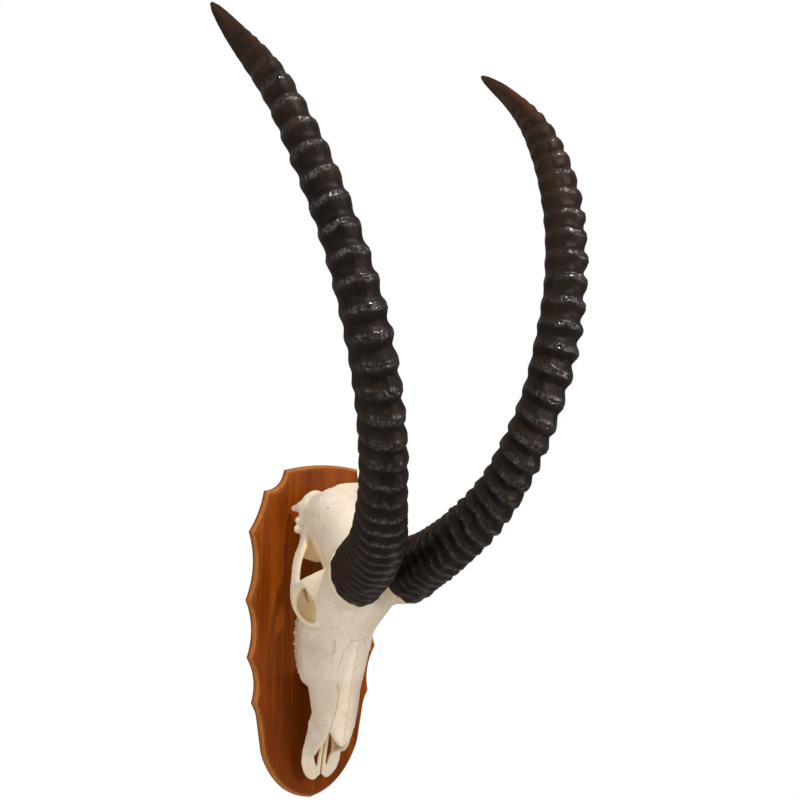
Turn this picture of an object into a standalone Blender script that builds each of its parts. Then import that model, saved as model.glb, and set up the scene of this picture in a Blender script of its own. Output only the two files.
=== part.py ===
"""Skull of a sable antelope with its ringed horns, mounted nose down on a scalloped wall plaque.

Frame: +X to the right of someone facing the wall, +Y into the wall, +Z up. The wall is the
plane Y = 0 and the origin is the middle of the plaque's back. Lengths below are millimetres;
heights in the tables are measured from the plaque's foot.
"""
import math

import bmesh
import bpy
import numpy as np
from mathutils import Matrix, Vector

for old in list(bpy.data.objects):
    bpy.data.objects.remove(old, do_unlink=True)

MM = 0.001
GAP = 0.35                  # clearance between pieces that touch
PLAQUE_HEIGHT = 500.0
PLAQUE_THICK = 14.0
MOULDING = 6.6              # width of the moulded edge seen from the front
CENTRE = PLAQUE_HEIGHT / 2  # height of the origin above the foot
FRONT = -PLAQUE_THICK       # the plaque's front face
SKULL_GRAIN = 2.4           # edge of the bone's surface cells before thinning
SKULL_KEPT = 0.046          # share of the surface cells kept by thinning
HORN_SIDES = 16
TOOTH_LENGTHS = (11.5, 12.5, 13.0, 16.0, 17.0, 15.5)
TOOTH_ROW_FOOT = 190.0      # lower end of the tooth row
SCREW_RADIUS = 2.4
SKULL_SCREWS = (196.0, 396.0)   # heights of the screws through the plaque into the skull


def material(name, colour, roughness, metallic=0.0):
    """A Principled material with one base colour."""
    mat = bpy.data.materials.new(name)
    mat.use_nodes = True
    shader = mat.node_tree.nodes["Principled BSDF"]
    shader.inputs["Base Color"].default_value = (*colour, 1.0)
    shader.inputs["Roughness"].default_value = roughness
    shader.inputs["Metallic"].default_value = metallic
    mat.diffuse_color = (*colour, 1.0)
    return mat


BONE = material("bone", (0.80, 0.72, 0.60), 0.6)
HORN = material("horn", (0.022, 0.014, 0.011), 0.4)
TEETH = material("tooth_enamel", (0.62, 0.48, 0.28), 0.45)
WOOD = material("stained_wood", (0.24, 0.065, 0.018), 0.4)
STEEL = material("hanger_steel", (0.55, 0.55, 0.56), 0.35, 1.0)


def place(bm, name, mat, smooth=True):
    """Scales a shape built in millimetres to metres and puts it in the scene."""
    bmesh.ops.transform(bm, matrix=Matrix.Scale(MM, 4) @ Matrix.Translation((0, 0, -CENTRE)),
                        verts=bm.verts)
    bmesh.ops.recalc_face_normals(bm, faces=bm.faces)
    mesh = bpy.data.meshes.new(name)
    bm.to_mesh(mesh)
    bm.free()
    mesh.materials.append(mat)
    obj = bpy.data.objects.new(name, mesh)
    bpy.context.collection.objects.link(obj)
    if smooth:
        mesh.shade_smooth()
        mesh.set_sharp_from_angle(angle=math.radians(40))
    return obj


def through(table, steps):
    """A smooth curve through the rows of a table: steps samples between each pair of rows."""
    rows = np.array(table, dtype=float)
    gaps = np.linalg.norm(np.diff(rows[:, :3], axis=0), axis=1)
    knots = np.concatenate(([0.0], np.cumsum(gaps)))
    slopes = np.gradient(rows, knots, axis=0)
    samples = []
    for i in range(len(rows) - 1):
        width = knots[i + 1] - knots[i]
        last = steps + 1 if i == len(rows) - 2 else steps
        for j in range(last):
            t = j / steps
            a = 2 * t**3 - 3 * t**2 + 1
            b = t**3 - 2 * t**2 + t
            c = 3 * t**2 - 2 * t**3
            d = t**3 - t**2
            samples.append(a * rows[i] + b * width * slopes[i] + c * rows[i + 1]
                           + d * width * slopes[i + 1])
    return np.array(samples)


def skin(bm, rings, closed=False):
    """Joins rings of points, each a list of the same length, into one closed tube."""
    loops = [[bm.verts.new(p) for p in ring] for ring in rings]
    count = len(loops[0])
    pairs = list(zip(loops, loops[1:]))
    if closed:
        pairs.append((loops[-1], loops[0]))
    for low, high in pairs:
        for i in range(count):
            j = (i + 1) % count
            bm.faces.new((low[i], low[j], high[j], high[i]))
    if not closed:
        bm.faces.new(list(reversed(loops[0])))
        bm.faces.new(loops[-1])
    return loops


def power(value, exponent):
    return math.copysign(abs(value) ** exponent, value)


def slices(bm, table, steps=5, sides=28):
    """A body given by level slices: height, half width, front, back, depth of the widest
    point, and how square the front and the back of the slice are (2 is round)."""
    rings = []
    for z, half, front, back, widest, upper, lower in through(table, steps):
        ring = []
        for i in range(sides):
            t = 2 * math.pi * i / sides
            square = upper if math.sin(t) > 0 else lower
            reach = front - widest if math.sin(t) > 0 else back - widest
            ring.append((half * power(math.cos(t), 2 / square),
                         widest + reach * abs(math.sin(t)) ** (2 / square), z))
        rings.append(ring)
    skin(bm, rings)


def blade(bm, table, steps=4, sides=12):
    """A flat bar of bone: the points of its two edges, and its half thickness."""
    edges = [(Vector(a), Vector(b), thick) for a, b, thick in table]
    rows = through([(*((a + b) / 2), *((a - b) / 2), thick) for a, b, thick in edges], steps)
    tangents = np.gradient(rows[:, :3], axis=0)
    rings = []
    for row, tangent in zip(rows, tangents):
        along = Vector(tangent).normalized()
        across = Vector(row[3:6])
        across -= along * across.dot(along)
        up = along.cross(across).normalized() * row[6]
        ring = []
        for i in range(sides):
            t = 2 * math.pi * i / sides
            ring.append(Vector(row[:3]) + across * power(math.cos(t), 0.8) + up * power(math.sin(t), 0.8))
        rings.append(ring)
    skin(bm, rings)


def rod(bm, table, steps=3, sides=12):
    """A round bar: x, y, z and radius along it."""
    rows = through(table, steps)
    tangents = np.gradient(rows[:, :3], axis=0)
    rings = []
    for row, tangent in zip(rows, tangents):
        along = Vector(tangent).normalized()
        across = along.orthogonal().normalized()
        up = along.cross(across)
        ring = []
        for i in range(sides):
            t = 2 * math.pi * i / sides
            ring.append(Vector(row[:3]) + across * (row[3] * math.cos(t)) + up * (row[3] * math.sin(t)))
        rings.append(ring)
    skin(bm, rings)


def lump(bm, centre, radii, tilt=0.0, axis="X", fine=3):
    """An ellipsoid, turned about an axis by tilt degrees."""
    turn = Matrix.Translation(centre) @ Matrix.Rotation(math.radians(tilt), 4, axis)
    bmesh.ops.create_icosphere(bm, subdivisions=fine, radius=1.0,
                               matrix=turn @ Matrix.Diagonal((*radii, 1.0)))


def both_sides(bm, build):
    """Builds a shape at +X and its mirror image at -X."""
    half = bmesh.new()
    build(half)
    mesh = bpy.data.meshes.new("half")
    half.to_mesh(mesh)
    bm.from_mesh(mesh)
    bmesh.ops.transform(half, matrix=Matrix.Scale(-1, 4, (1, 0, 0)), verts=half.verts)
    bmesh.ops.reverse_faces(half, faces=half.faces)
    half.to_mesh(mesh)
    half.free()
    bm.from_mesh(mesh)
    bpy.data.meshes.remove(mesh)


# Horns: the axis leaves the skull upwards and outwards, and arches back to the wall.
HORN_AXIS = [
    (43.5, -185, 353), (64.3, -260, 401), (91, -310.5, 458), (122, -351, 553), (157, -364, 678),
    (185, -350, 782), (210, -313, 887), (230.5, -241, 999), (240, -160, 1075),
]
HORN_TIP = {-1: (241, -98, 1130), 1: (240, -94, 1123.5)}     # the left horn is a little longer
RIM_NORMAL = Vector((0.0, -0.93, 0.36)).normalized()
RIM_BLEND = 70.0            # length over which the slanted base turns square to the axis
# along the horn from its base: the section's long and short diameter, and its turn in degrees
HORN_FORM = [
    (0, 90, 85, 0), (14, 89, 82, 8), (40, 86, 76, 24), (70, 80.8, 73.5, 31), (100, 77.1, 71.5, 33),
    (150, 70.7, 64.5, 14), (200, 66.3, 58.3, 6), (250, 65, 57, 5), (300, 63.6, 56, 4), (350, 63, 55.4, 1),
    (400, 62.6, 55, -2), (450, 61.3, 54, -9), (500, 59, 52, -19), (550, 58, 50, -28),
    (600, 56.6, 48.4, -35), (650, 55.1, 46.8, -35), (700, 51.8, 43.5, -28), (750, 48, 40.5, -18),
    (800, 40.5, 36, -2), (850, 34.8, 30.4, 18), (885, 29.6, 24.4, 22), (920, 21, 18.5, 20),
    (945, 14.5, 13, 20), (960, 8, 8, 20),
]
# along the horn: distance from one ring to the next, and how far the rings stand out
RING_STEP = [(0, 9.5), (60, 12.5), (100, 16), (200, 24), (300, 30), (500, 33.5), (740, 35),
             (800, 24), (880, 20)]
RING_STAND = [(0, 2.0), (60, 3.4), (120, 4.2), (200, 5.6), (300, 6.8), (400, 7.0), (600, 6.6), (700, 5.3),
              (780, 3.4), (840, 1.2), (865, 0.4)]
FIRST_RING = 16.0
LAST_RING = 850.0


def table_value(table, at, column=1):
    rows = np.array(table, dtype=float)
    return float(np.interp(at, rows[:, 0], rows[:, column]))


def horn_path(side):
    """Points along the axis with their distance from the base."""
    samples = through([*HORN_AXIS, HORN_TIP[side]], 40)
    steps = np.linalg.norm(np.diff(samples, axis=0), axis=1)
    return samples, np.concatenate(([0.0], np.cumsum(steps)))


def ring_places():
    at = FIRST_RING
    places = []
    while at < LAST_RING:
        places.append(at)
        at += table_value(RING_STEP, at)
    return places


def horn(name, side):
    """One horn sheath: rings of points at the crest of each ring and in each hollow."""
    samples, along = horn_path(side)
    length = along[-1]
    rings_at = ring_places()
    stations = [(0.0, 0.0), (6.0, 0.0)]
    for low, high in zip(rings_at, rings_at[1:] + [LAST_RING + 20]):
        stand = table_value(RING_STAND, low)
        stations.append((low, stand * 0.68))
        stations.append((low + 0.38 * (high - low), -stand * 0.4))
    stations += [(length - 40, 0.0), (length - 12, 0.0), (length - 1.5, 0.0)]
    bm = bmesh.new()
    rings = []
    for at, stand in stations:
        centre = Vector([np.interp(at, along, samples[:, k]) for k in range(3)])
        ahead = Vector([np.interp(min(at + 3, length), along, samples[:, k]) for k in range(3)])
        behind = Vector([np.interp(max(at - 3, 0), along, samples[:, k]) for k in range(3)])
        tangent = (ahead - behind).normalized()
        blend = min(at / RIM_BLEND, 1.0)
        blend = blend * blend * (3 - 2 * blend)
        normal = RIM_NORMAL.lerp(tangent, blend).normalized()
        sideways = Vector((1, 0, 0))
        sideways = (sideways - normal * sideways.dot(normal)).normalized()
        forward = normal.cross(sideways).normalized()
        if forward.y > 0:
            forward = -forward
        lean = math.radians(table_value(HORN_FORM, at, 3))
        deepways = forward * math.cos(lean) - sideways * math.sin(lean)
        crossways = sideways * math.cos(lean) + forward * math.sin(lean)
        deep = table_value(HORN_FORM, at, 1) / 2
        across = table_value(HORN_FORM, at, 2) / 2
        ring = []
        for i in range(HORN_SIDES):
            t = 2 * math.pi * i / HORN_SIDES
            front = 0.66 + 0.34 * math.sin(t)
            swell = stand * front
            p = centre + crossways * ((across + swell) * math.cos(t)) \
                + deepways * ((deep + swell) * math.sin(t))
            ring.append((p.x * side, p.y, p.z))
        rings.append(ring)
    skin(bm, rings)
    return place(bm, name, HORN)


horn("horn_left", -1)
horn("horn_right", 1)


# Skull slices: height, half width, front, back, widest depth, squareness front and back.
FACE = [
    (118, 29, -96, -44, -70, 2.3, 2.8), (150, 33, -105, -42, -66, 2.3, 3.0),
    (175, 36, -109, -40, -60, 2.3, 3.0), (200, 43, -115, -36, -56, 2.2, 3.0),
    (226, 47.5, -122, -34, -56, 2.15, 2.8), (254, 50, -130, -34, -58, 2.1, 2.8),
    (282, 50, -142, -42, -78, 2.1, 2.8), (310, 44, -156, -54, -95, 2.2, 2.6),
    (340, 38, -166, -60, -105, 2.2, 2.4),
]
BRAINCASE = [
    (325, 34, -168, -66, -112, 2.2, 2.2), (350, 36, -176, -60, -108, 2.2, 2.2),
    (375, 42, -172, -48, -95, 2.2, 2.3), (400, 48, -160, -40, -80, 2.2, 2.4),
    (425, 53, -144, -34, -72, 2.2, 2.5), (448, 52, -130, -32, -72, 2.3, 2.6),
    (465, 44, -122, -32, -74, 2.3, 2.6), (488, 30, -112, -34, -74, 2.2, 2.4),
]
BROW = [
    (248, 28, -116, -84, -100, 2.4, 2.2), (264, 38, -128, -86, -104, 2.4, 2.2),
    (282, 50, -141, -94, -108, 2.4, 2.2), (300, 60, -154, -98, -112, 2.4, 2.2),
    (322, 64, -168, -98, -112, 2.3, 2.2), (343, 56, -176, -98, -114, 2.2, 2.2),
    (364, 40, -176, -100, -120, 2.1, 2.2),
]
CORE = [
    (256, 14, -112, -66, -92, 2.0, 2.0), (285, 20, -132, -68, -100, 2.0, 2.0),
    (320, 22, -160, -62, -100, 2.0, 2.0), (350, 24, -165, -56, -95, 2.0, 2.0),
    (385, 34, -165, -46, -90, 2.0, 2.0),
]
NASAL = [
    (94, 3, -93.0, -88.5, -90.5, 2.0, 2.0), (99, 9, -95, -87.5, -90, 2.0, 2.0),
    (106, 14, -96.5, -86, -89, 2.2, 2.0), (118, 19, -98.5, -84, -87, 2.3, 2.0),
    (136, 22, -102, -82, -86, 2.3, 2.0), (156, 23, -106, -80, -86, 2.3, 2.0),
]
# Flat bars of bone: the points of both edges, and the half thickness.
TOOTH_RIDGE = [
    ((30, -41, 181), (20, -41, 183), 4), ((34, -40, 189), (22, -40, 190), 9),
    ((37.5, -40, 203), (25, -40, 203), 11.5), ((40, -40, 232), (27, -40, 232), 12.5),
    ((40, -41, 262), (28, -41, 262), 12), ((37, -44, 284), (27, -44, 284), 9),
]
ARCH = [
    ((46, -46, 412), (48, -64, 412), 5), ((47, -47, 398), (49, -66, 400), 5),
    ((52, -50, 386), (53, -68, 388), 4.2), ((58, -53, 377), (58, -71, 379), 3.2),
    ((65.5, -56, 366), (64, -73, 367), 2.8), ((69.5, -58, 352), (67.5, -74, 353), 2.6),
    ((71, -59, 338), (69.5, -75, 339), 2.6), ((72.5, -60, 324), (73, -77, 325), 2.6),
    ((72.5, -61, 311), (76.5, -77, 312), 2.4), ((70, -63, 298), (75.5, -78, 299), 2.2),
    ((64, -67, 286), (71.5, -83, 287), 2.2), ((57, -72, 276), (65, -89, 279), 2.3),
    ((50, -78, 270), (57, -97, 274), 2.5), ((44, -86, 268), (51, -105, 276), 3.0),
    ((40, -96, 270), (45, -111, 281), 3.5),
]
SHELF = [
    ((52, -56, 408), (30, -56, 408), 6), ((54, -57, 388), (27, -57, 388), 5),
    ((58, -58, 370), (26, -57, 372), 3.5), ((60, -60, 364), (28, -58, 366), 2.0),
]
POSTORBITAL = [
    ((44, -122, 358), (58, -115, 304), 7), ((58, -110, 351), (68, -108, 318), 5.5),
    ((66, -98, 343), (73, -98, 329.5), 4.5), ((69, -86, 336), (73, -86, 328), 3.6),
    ((70, -75, 334), (73, -76, 326), 3.0),
]
PREMAXILLA = [
    ((29, -50, 131), (20, -90, 129), 2.6), ((28.5, -44, 114), (22, -84, 113), 2.6),
    ((27.5, -39, 100), (24, -73, 103), 2.6), ((28, -35.5, 88), (26, -64, 89), 2.7),
    ((30, -34.5, 78), (24, -53, 83), 2.8), ((32.5, -34, 70), (18, -41, 74.5), 3),
    ((33, -34, 64), (13.3, -35.5, 66), 3), ((30.5, -33.5, 53), (12, -35, 59), 3),
    ((25, -32, 43), (9.5, -35, 54), 3), ((17, -31, 36.5), (6.5, -34.5, 49), 3),
    ((8.5, -31.5, 34.5), (4.2, -34, 44), 2.8),
]
PALATE_EDGE = [
    ((27, -40, 124), (3, -44, 122), 2.4), ((27, -39, 110), (8, -42, 109), 2.3),
    ((28, -36.5, 98), (13.5, -40, 98), 2.2), ((29, -35, 84), (16, -39, 84), 2.2),
    ((30, -34.5, 74), (15.5, -37, 74), 2.2),
]
# round bars: x, y, z and radius
PALATE_ROD = [
    (4.0, -33.5, 42, 3.0), (4.0, -36, 60, 3.1), (3.8, -40.5, 82, 3.0), (3.8, -46, 102, 2.6),
    (4.0, -52, 128, 3.0),
]
PAROCCIPITAL = [
    ((51, -52, 436), (42, -52, 440), 6), ((52.5, -38, 436), (45, -38, 440), 5),
    ((51.5, -20, 434), (47, -20, 437), 3),
]
MASTOID = [
    ((44, -62, 450), (44, -50, 434), 6), ((48, -46, 447), (48, -41, 434), 4.5),
    ((52, -40, 443), (52, -37, 437), 2.8),
]
EAR_TUBE = [(44, -48, 408, 7), (49, -43, 407, 5.5), (53, -39.5, 407, 4.6)]
PTERYGOID = [
    ((20, -44, 292), (18, -70, 292), 2.2), ((17, -40, 318), (16, -72, 318), 2.2),
    ((19, -42, 346), (19, -70, 346), 2.2), ((24, -50, 376), (24, -66, 376), 2.5),
]
# round bars that hollow the temple: x, y, z and radius
TEMPLE_WAY = [(84, -130, 359, 11), (71, -110, 356, 13), (50, -75, 353, 13.5), (25, -35, 349, 13.5)]
TEMPLE_BOWL = [
    (52, -70, 396, 1), (53, -73, 384, 8.5), (54, -74, 373, 13), (54, -76, 358, 16), (54, -76, 344, 9),
]
# height and half width of the tooth rows
TOOTH_OUTER = [(188, 32.5), (203, 36.8), (220, 40), (235, 41.6), (252, 41.8), (264, 40.6), (278, 36.6)]


def pedicle(bm):
    """The bony stump that the horn sheath sits on, cut off by the slanted rim plane."""
    base = Vector(HORN_AXIS[0])
    outward = RIM_NORMAL.cross(Vector((1, 0, 0))).normalized()
    if outward.z > 0:
        outward = -outward
    rings = []
    for drop, across, deep in ((80, 18, 29), (48, 25, 34), (24, 31, 38), (6, 37.5, 41.5), (-4, 40, 43)):
        centre = base - RIM_NORMAL * drop - Vector((drop * 0.09, 0, 0))
        ring = []
        for i in range(28):
            t = 2 * math.pi * i / 28
            ring.append(centre + Vector((1, 0, 0)) * (across * math.cos(t))
                        + outward * (deep * math.sin(t)))
        rings.append(ring)
    skin(bm, rings)


def skull_mass(bm):
    """The parts that are hollowed: face, brow, braincase and the stumps under the horns."""
    slices(bm, FACE)
    slices(bm, BRAINCASE)
    slices(bm, BROW)
    slices(bm, CORE)

    def side(half):
        blade(half, TOOTH_RIDGE)
        pedicle(half)
        lump(half, (42, -86, 308), (34, 34, 40))
        lump(half, (26, -48, 449.5), (17, 14, 14.5), -12, "Y")
        lump(half, (40, -46, 430), (12.5, 11, 27))
        lump(half, (36, -42, 406), (14, 14, 18))
        lump(half, (62, -106, 321), (11, 8, 12))
    both_sides(bm, side)


def skull_hollows(bm):
    """Nose, palate, throat and brain openings, the eye sockets and the temples."""
    lump(bm, (0, -68, 108), (25, 22, 62), 3)
    lump(bm, (0, -24, 228), (26, 18, 60))
    lump(bm, (0, -46, 322), (15, 22, 36))
    lump(bm, (0, -56, 470), (12, 12, 26))

    def side(half):
        lump(half, (64, -94, 303), (34, 17, 28), -14, "Z")
        rod(half, TEMPLE_WAY)
        rod(half, TEMPLE_BOWL)
    both_sides(bm, side)


def skull_edges(bm):
    """The thin bone round the hollows: rims, arches, nose bones and processes."""
    slices(bm, NASAL)

    def side(half):
        for table in (SHELF, ARCH, POSTORBITAL, PALATE_EDGE, PREMAXILLA, PAROCCIPITAL, MASTOID, PTERYGOID):
            blade(half, table)
        rod(half, PALATE_ROD)
        rod(half, EAR_TUBE)
        lump(half, (51, -41, 419.5), (6, 7, 7))
        lump(half, (15, -30, 392), (9, 10, 20))
    both_sides(bm, side)


def box(bm, low, high):
    """A box between two corners."""
    size = Vector(high) - Vector(low)
    middle = (Vector(high) + Vector(low)) / 2
    bmesh.ops.create_cube(bm, size=1.0,
                          matrix=Matrix.Translation(middle) @ Matrix.Diagonal((*size, 1.0)))


def tilted_box(bm, low, high, up, at):
    """A box whose own Z runs along a direction, moved to a place."""
    turn = Vector(up).to_track_quat("Z", "Y").to_matrix().to_4x4()
    single = bmesh.new()
    box(single, low, high)
    bmesh.ops.transform(single, matrix=Matrix.Translation(at) @ turn, verts=single.verts)
    mesh = bpy.data.meshes.new("tilted")
    single.to_mesh(mesh)
    single.free()
    bm.from_mesh(mesh)
    bpy.data.meshes.remove(mesh)


def cutter(bm, name):
    obj = place(bm, name, BONE, smooth=False)
    obj.hide_render = True
    obj.display_type = "WIRE"
    return obj


def remesh(obj, name, grain):
    even = obj.modifiers.new(name, "REMESH")
    even.mode = "VOXEL"
    even.voxel_size = grain * MM


def take_away(obj, name, tool):
    cut = obj.modifiers.new(name, "BOOLEAN")
    cut.operation = "DIFFERENCE"
    cut.object = tool
    cut.use_self = True


def evaluated(obj):
    """A copy of the object's mesh with its modifiers applied."""
    graph = bpy.context.evaluated_depsgraph_get()
    return bpy.data.meshes.new_from_object(obj.evaluated_get(graph))


def tooth_places():
    """Foot, head, side position and half width of each cheek tooth of the right row."""
    foot = TOOTH_ROW_FOOT
    row = []
    for length in TOOTH_LENGTHS:
        half = 5.8 if length < 15 else 7.1
        row.append((foot, foot + length - GAP, table_value(TOOTH_OUTER, foot + length / 2) - half, half))
        foot += length
    return row


def tooth(bm, low, high, middle, half, grow=0.0):
    """A cheek tooth: a block that narrows to a notched grinding edge towards the wall."""
    width = half + grow
    rings = []
    levels = ((-40 - grow, 0.8, 0.96), (-33, 0.94, 1.0), (-25, 1.0, 1.0), (-17.5, 0.98, 0.98))
    for depth, across, pinch in levels:
        ring = []
        zm, zr = (low + high) / 2, (high - low) / 2 * pinch + grow
        for u, v in ((-1, -0.8), (-0.8, -1), (0.8, -1), (1, -0.8), (0.9, 0), (1, 0.8), (0.8, 1), (-0.8, 1),
                     (-1, 0.8), (-1, 0)):
            ring.append((middle + u * width * across, depth, zm + v * zr))
        rings.append(ring)
    top = rings[-1]
    crown = FRONT - GAP + grow
    lifted = []
    for i, (x, y, z) in enumerate(top):
        peak = i in (0, 1, 3, 4, 5, 6, 8)
        lifted.append(((x - middle) * 0.86 + middle, crown if peak else crown - 1.6, z))
    rings.append(lifted)
    skin(bm, rings)


def teeth():
    for side, word in ((-1, "left"), (1, "right")):
        for number, (low, high, middle, half) in enumerate(tooth_places(), 1):
            bm = bmesh.new()
            tooth(bm, low, high, middle, half)
            bmesh.ops.transform(bm, matrix=Matrix.Scale(side, 4, (1, 0, 0)), verts=bm.verts)
            place(bm, f"tooth_{word}_{number}", TEETH)


def sockets():
    """Room for the teeth, the plaque, the horn sheaths and the two skull screws."""
    bm = bmesh.new()

    def side(half):
        for low, high, middle, width in tooth_places():
            tooth(half, low, high, middle, width, grow=GAP)
    both_sides(bm, side)
    for height in SKULL_SCREWS:
        peg(bm, 0, height, -58.5, FRONT, SCREW_RADIUS + GAP)
    return cutter(bm, "tooth_sockets")


def planes():
    """Blocks that trim the bone to the plaque's front, behind the nuchal crest and at the horns' bases."""
    bm = bmesh.new()
    box(bm, (-150, FRONT - GAP, 0), (150, FRONT + 40, 520))
    for side in (-1, 1):
        tilted_box(bm, (-120, -150, 0), (120, 150, 60), (side * 0.12, 0.20, 0.97), (side * 12, -108, 477))
        tilted_box(bm, (-120, -150, 0), (120, 150, 60), (side * 0.30, 0.34, 0.89), (side * 33, -97, 472.5))
    centre = Vector((0, HORN_AXIS[0][1], HORN_AXIS[0][2])) - RIM_NORMAL * GAP
    tilted_box(bm, (-150, -120, 0), (150, 160, 60), RIM_NORMAL, centre)
    return cutter(bm, "trim_planes")


def skull():
    body = bmesh.new()
    skull_mass(body)
    mass = place(body, "skull_mass", BONE, smooth=False)
    remesh(mass, "Grow together", SKULL_GRAIN)
    hollows = bmesh.new()
    skull_hollows(hollows)
    hollow_tool = cutter(hollows, "skull_hollows")
    take_away(mass, "Hollows", hollow_tool)
    merged = bmesh.new()
    skull_edges(merged)
    whole = place(merged, "skull", BONE, smooth=False)
    hollowed = evaluated(mass)
    both = bmesh.new()
    both.from_mesh(whole.data)
    both.from_mesh(hollowed)
    both.to_mesh(whole.data)
    both.free()
    for gone in (mass, hollow_tool):
        bpy.data.objects.remove(gone, do_unlink=True)
    remesh(whole, "Even out", SKULL_GRAIN)
    soften = whole.modifiers.new("Soften", "SMOOTH")
    soften.factor = 0.5
    soften.iterations = 2
    thin = whole.modifiers.new("Thin", "DECIMATE")
    thin.ratio = SKULL_KEPT
    thin.use_collapse_triangulate = True
    take_away(whole, "Trim", planes())
    take_away(whole, "Sockets", sockets())
    return whole


def arc(start, end, bulge, steps):
    """Points of a shallow circular arc, without its end; bulge is its height, + to the right."""
    start, end = Vector(start), Vector(end)
    chord = end - start
    side = Vector((chord.y, -chord.x)).normalized()
    points = []
    for i in range(steps):
        t = i / steps
        points.append(start + chord * t + side * (bulge * 4 * t * (1 - t)))
    return points


PLAQUE_FOOT = [(0, 0, 0), (20, 5, 0), (40, 15, 0), (60, 33, 0), (74, 53, 0), (83, 73, 0), (87, 94, 0),
               (90.5, 115, 0), (95, 137, 0), (102, 151, 0)]


def plaque_outline(steps=4):
    """The plaque's edge, anticlockwise from the foot; its top sits a little to the right."""
    halves = []
    for cusps, corner in (([(114, 218), (117, 302), (114, 402), (100, 463)], (74.5, 493.6)),
                          ([(111, 218), (115, 302), (112, 402), (88, 462)], (54.5, 492.4))):
        half = [Vector((x, z)) for x, z, spare in through(PLAQUE_FOOT, 1)[:-1]]
        here = (102, 151)
        for cusp, dip in zip(cusps, (-7.5, -8.5, -9.5, -3.5)):
            half += arc(here, cusp, dip, steps)
            here = cusp
        halves.append(half + arc(here, corner, -9, steps) + [Vector(corner)])
    right, left = halves[0], [Vector((-p.x, p.y)) for p in reversed(halves[1])]
    return right + arc(right[-1], left[0], 7.0, 2 * steps)[1:] + left[:-1]


def inset(points, amount):
    """The outline moved inwards by an amount, keeping its corners."""
    moved = []
    count = len(points)
    for i, p in enumerate(points):
        before = (p - points[i - 1]).normalized()
        after = (points[(i + 1) % count] - p).normalized()
        n1, n2 = Vector((-before.y, before.x)), Vector((-after.y, after.x))
        middle = (n1 + n2).normalized()
        moved.append(p + middle * (amount / max(middle.dot(n1), 0.6)))
    return moved


# the plaque's edge from back to front: distance in from the outline, and depth
PLAQUE_EDGE = [(0.9, 0), (0, -0.9), (0, -4.4), (1.4, -7.9), (3.3, -10), (5.2, -10.8), (MOULDING, FRONT)]


def plaque():
    outline = plaque_outline()
    bm = bmesh.new()
    skin(bm, [[(p.x, y, p.y) for p in inset(outline, shift)] for shift, y in PLAQUE_EDGE])
    obj = place(bm, "plaque", WOOD)
    room = bmesh.new()
    box(room, (-23 - GAP, -1.8 - GAP, 440 - GAP), (23 + GAP, 1, 456 + GAP))
    box(room, (-7, -7, 441), (7, 0, 455))
    for x in (-17, 17):
        peg(room, x, 448, -10, -1, 1.5 + GAP)
    for height in SKULL_SCREWS:
        peg(room, 0, height, FRONT - 1, -4, SCREW_RADIUS + GAP)
        peg(room, 0, height, -4.5 - GAP, 1, 5.0 + GAP)
    merged = cutter(room, "plaque_room")
    cut = obj.modifiers.new("Room", "BOOLEAN")
    cut.object = merged
    cut.use_self = True
    return obj


def peg(bm, x, z, near, far, radius, sides=10):
    """A round bar across the plaque between two depths."""
    rings = []
    for y in (near, far):
        rings.append([(x + radius * math.cos(2 * math.pi * i / sides), y,
                       z + radius * math.sin(2 * math.pi * i / sides)) for i in range(sides)])
    skin(bm, rings)


def turned(name, x, z, profile, sides=12):
    """A screw: rings of the given radius at each depth."""
    bm = bmesh.new()
    rings = []
    for y, radius in profile:
        rings.append([(x + radius * math.cos(2 * math.pi * i / sides), y,
                       z + radius * math.sin(2 * math.pi * i / sides)) for i in range(sides)])
    skin(bm, rings)
    return place(bm, name, STEEL)


def hardware():
    """The keyhole hanger let into the back, its screws, and the screws that hold the skull."""
    bm = bmesh.new()
    box(bm, (-23, -1.8, 440), (23, -0.2, 456))
    hanger = place(bm, "hanger_plate", STEEL, smooth=False)
    holes = bmesh.new()
    peg(holes, 0, 446, -3, 1, 4.0)
    peg(holes, 0, 450.5, -3, 1, 2.2)
    for x in (-17, 17):
        peg(holes, x, 448, -3, 1, 1.5 + GAP)
    tool = cutter(holes, "hanger_holes")
    cut = hanger.modifiers.new("Holes", "BOOLEAN")
    cut.object = tool
    cut.use_self = True
    for x, word in ((-17, "left"), (17, "right")):
        turned(f"hanger_screw_{word}", x, 448, [(-9.5, 0.4), (-7.5, 1.5), (-0.3, 1.5)], 10)
    for height, word in zip(SKULL_SCREWS, ("lower", "upper")):
        turned(f"skull_screw_{word}", 0, height,
               [(-58, 0.8), (-54, SCREW_RADIUS), (-4.5, SCREW_RADIUS), (-4.2, 5.0), (-0.5, 5.0)], 10)


skull()
teeth()
plaque()
hardware()
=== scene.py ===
import math

import bmesh
import bpy
import numpy as np
from mathutils import Matrix, Vector
from mathutils.bvhtree import BVHTree


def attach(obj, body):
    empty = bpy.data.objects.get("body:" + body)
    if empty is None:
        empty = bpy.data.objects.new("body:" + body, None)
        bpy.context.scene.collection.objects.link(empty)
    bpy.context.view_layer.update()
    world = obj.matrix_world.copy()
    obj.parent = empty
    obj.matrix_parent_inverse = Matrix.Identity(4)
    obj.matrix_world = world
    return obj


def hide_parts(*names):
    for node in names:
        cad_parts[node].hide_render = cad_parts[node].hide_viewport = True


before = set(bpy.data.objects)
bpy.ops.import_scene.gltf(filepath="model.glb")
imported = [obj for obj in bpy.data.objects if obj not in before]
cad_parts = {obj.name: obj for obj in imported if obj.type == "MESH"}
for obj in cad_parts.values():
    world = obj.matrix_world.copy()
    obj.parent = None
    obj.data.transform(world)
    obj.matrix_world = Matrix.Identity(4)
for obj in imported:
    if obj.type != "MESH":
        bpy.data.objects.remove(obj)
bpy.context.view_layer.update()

MM = 0.001
CENTRE = 250.0  # the origin's height above the plaque's foot
FRONT = -14.0  # the plaque's front
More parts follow.
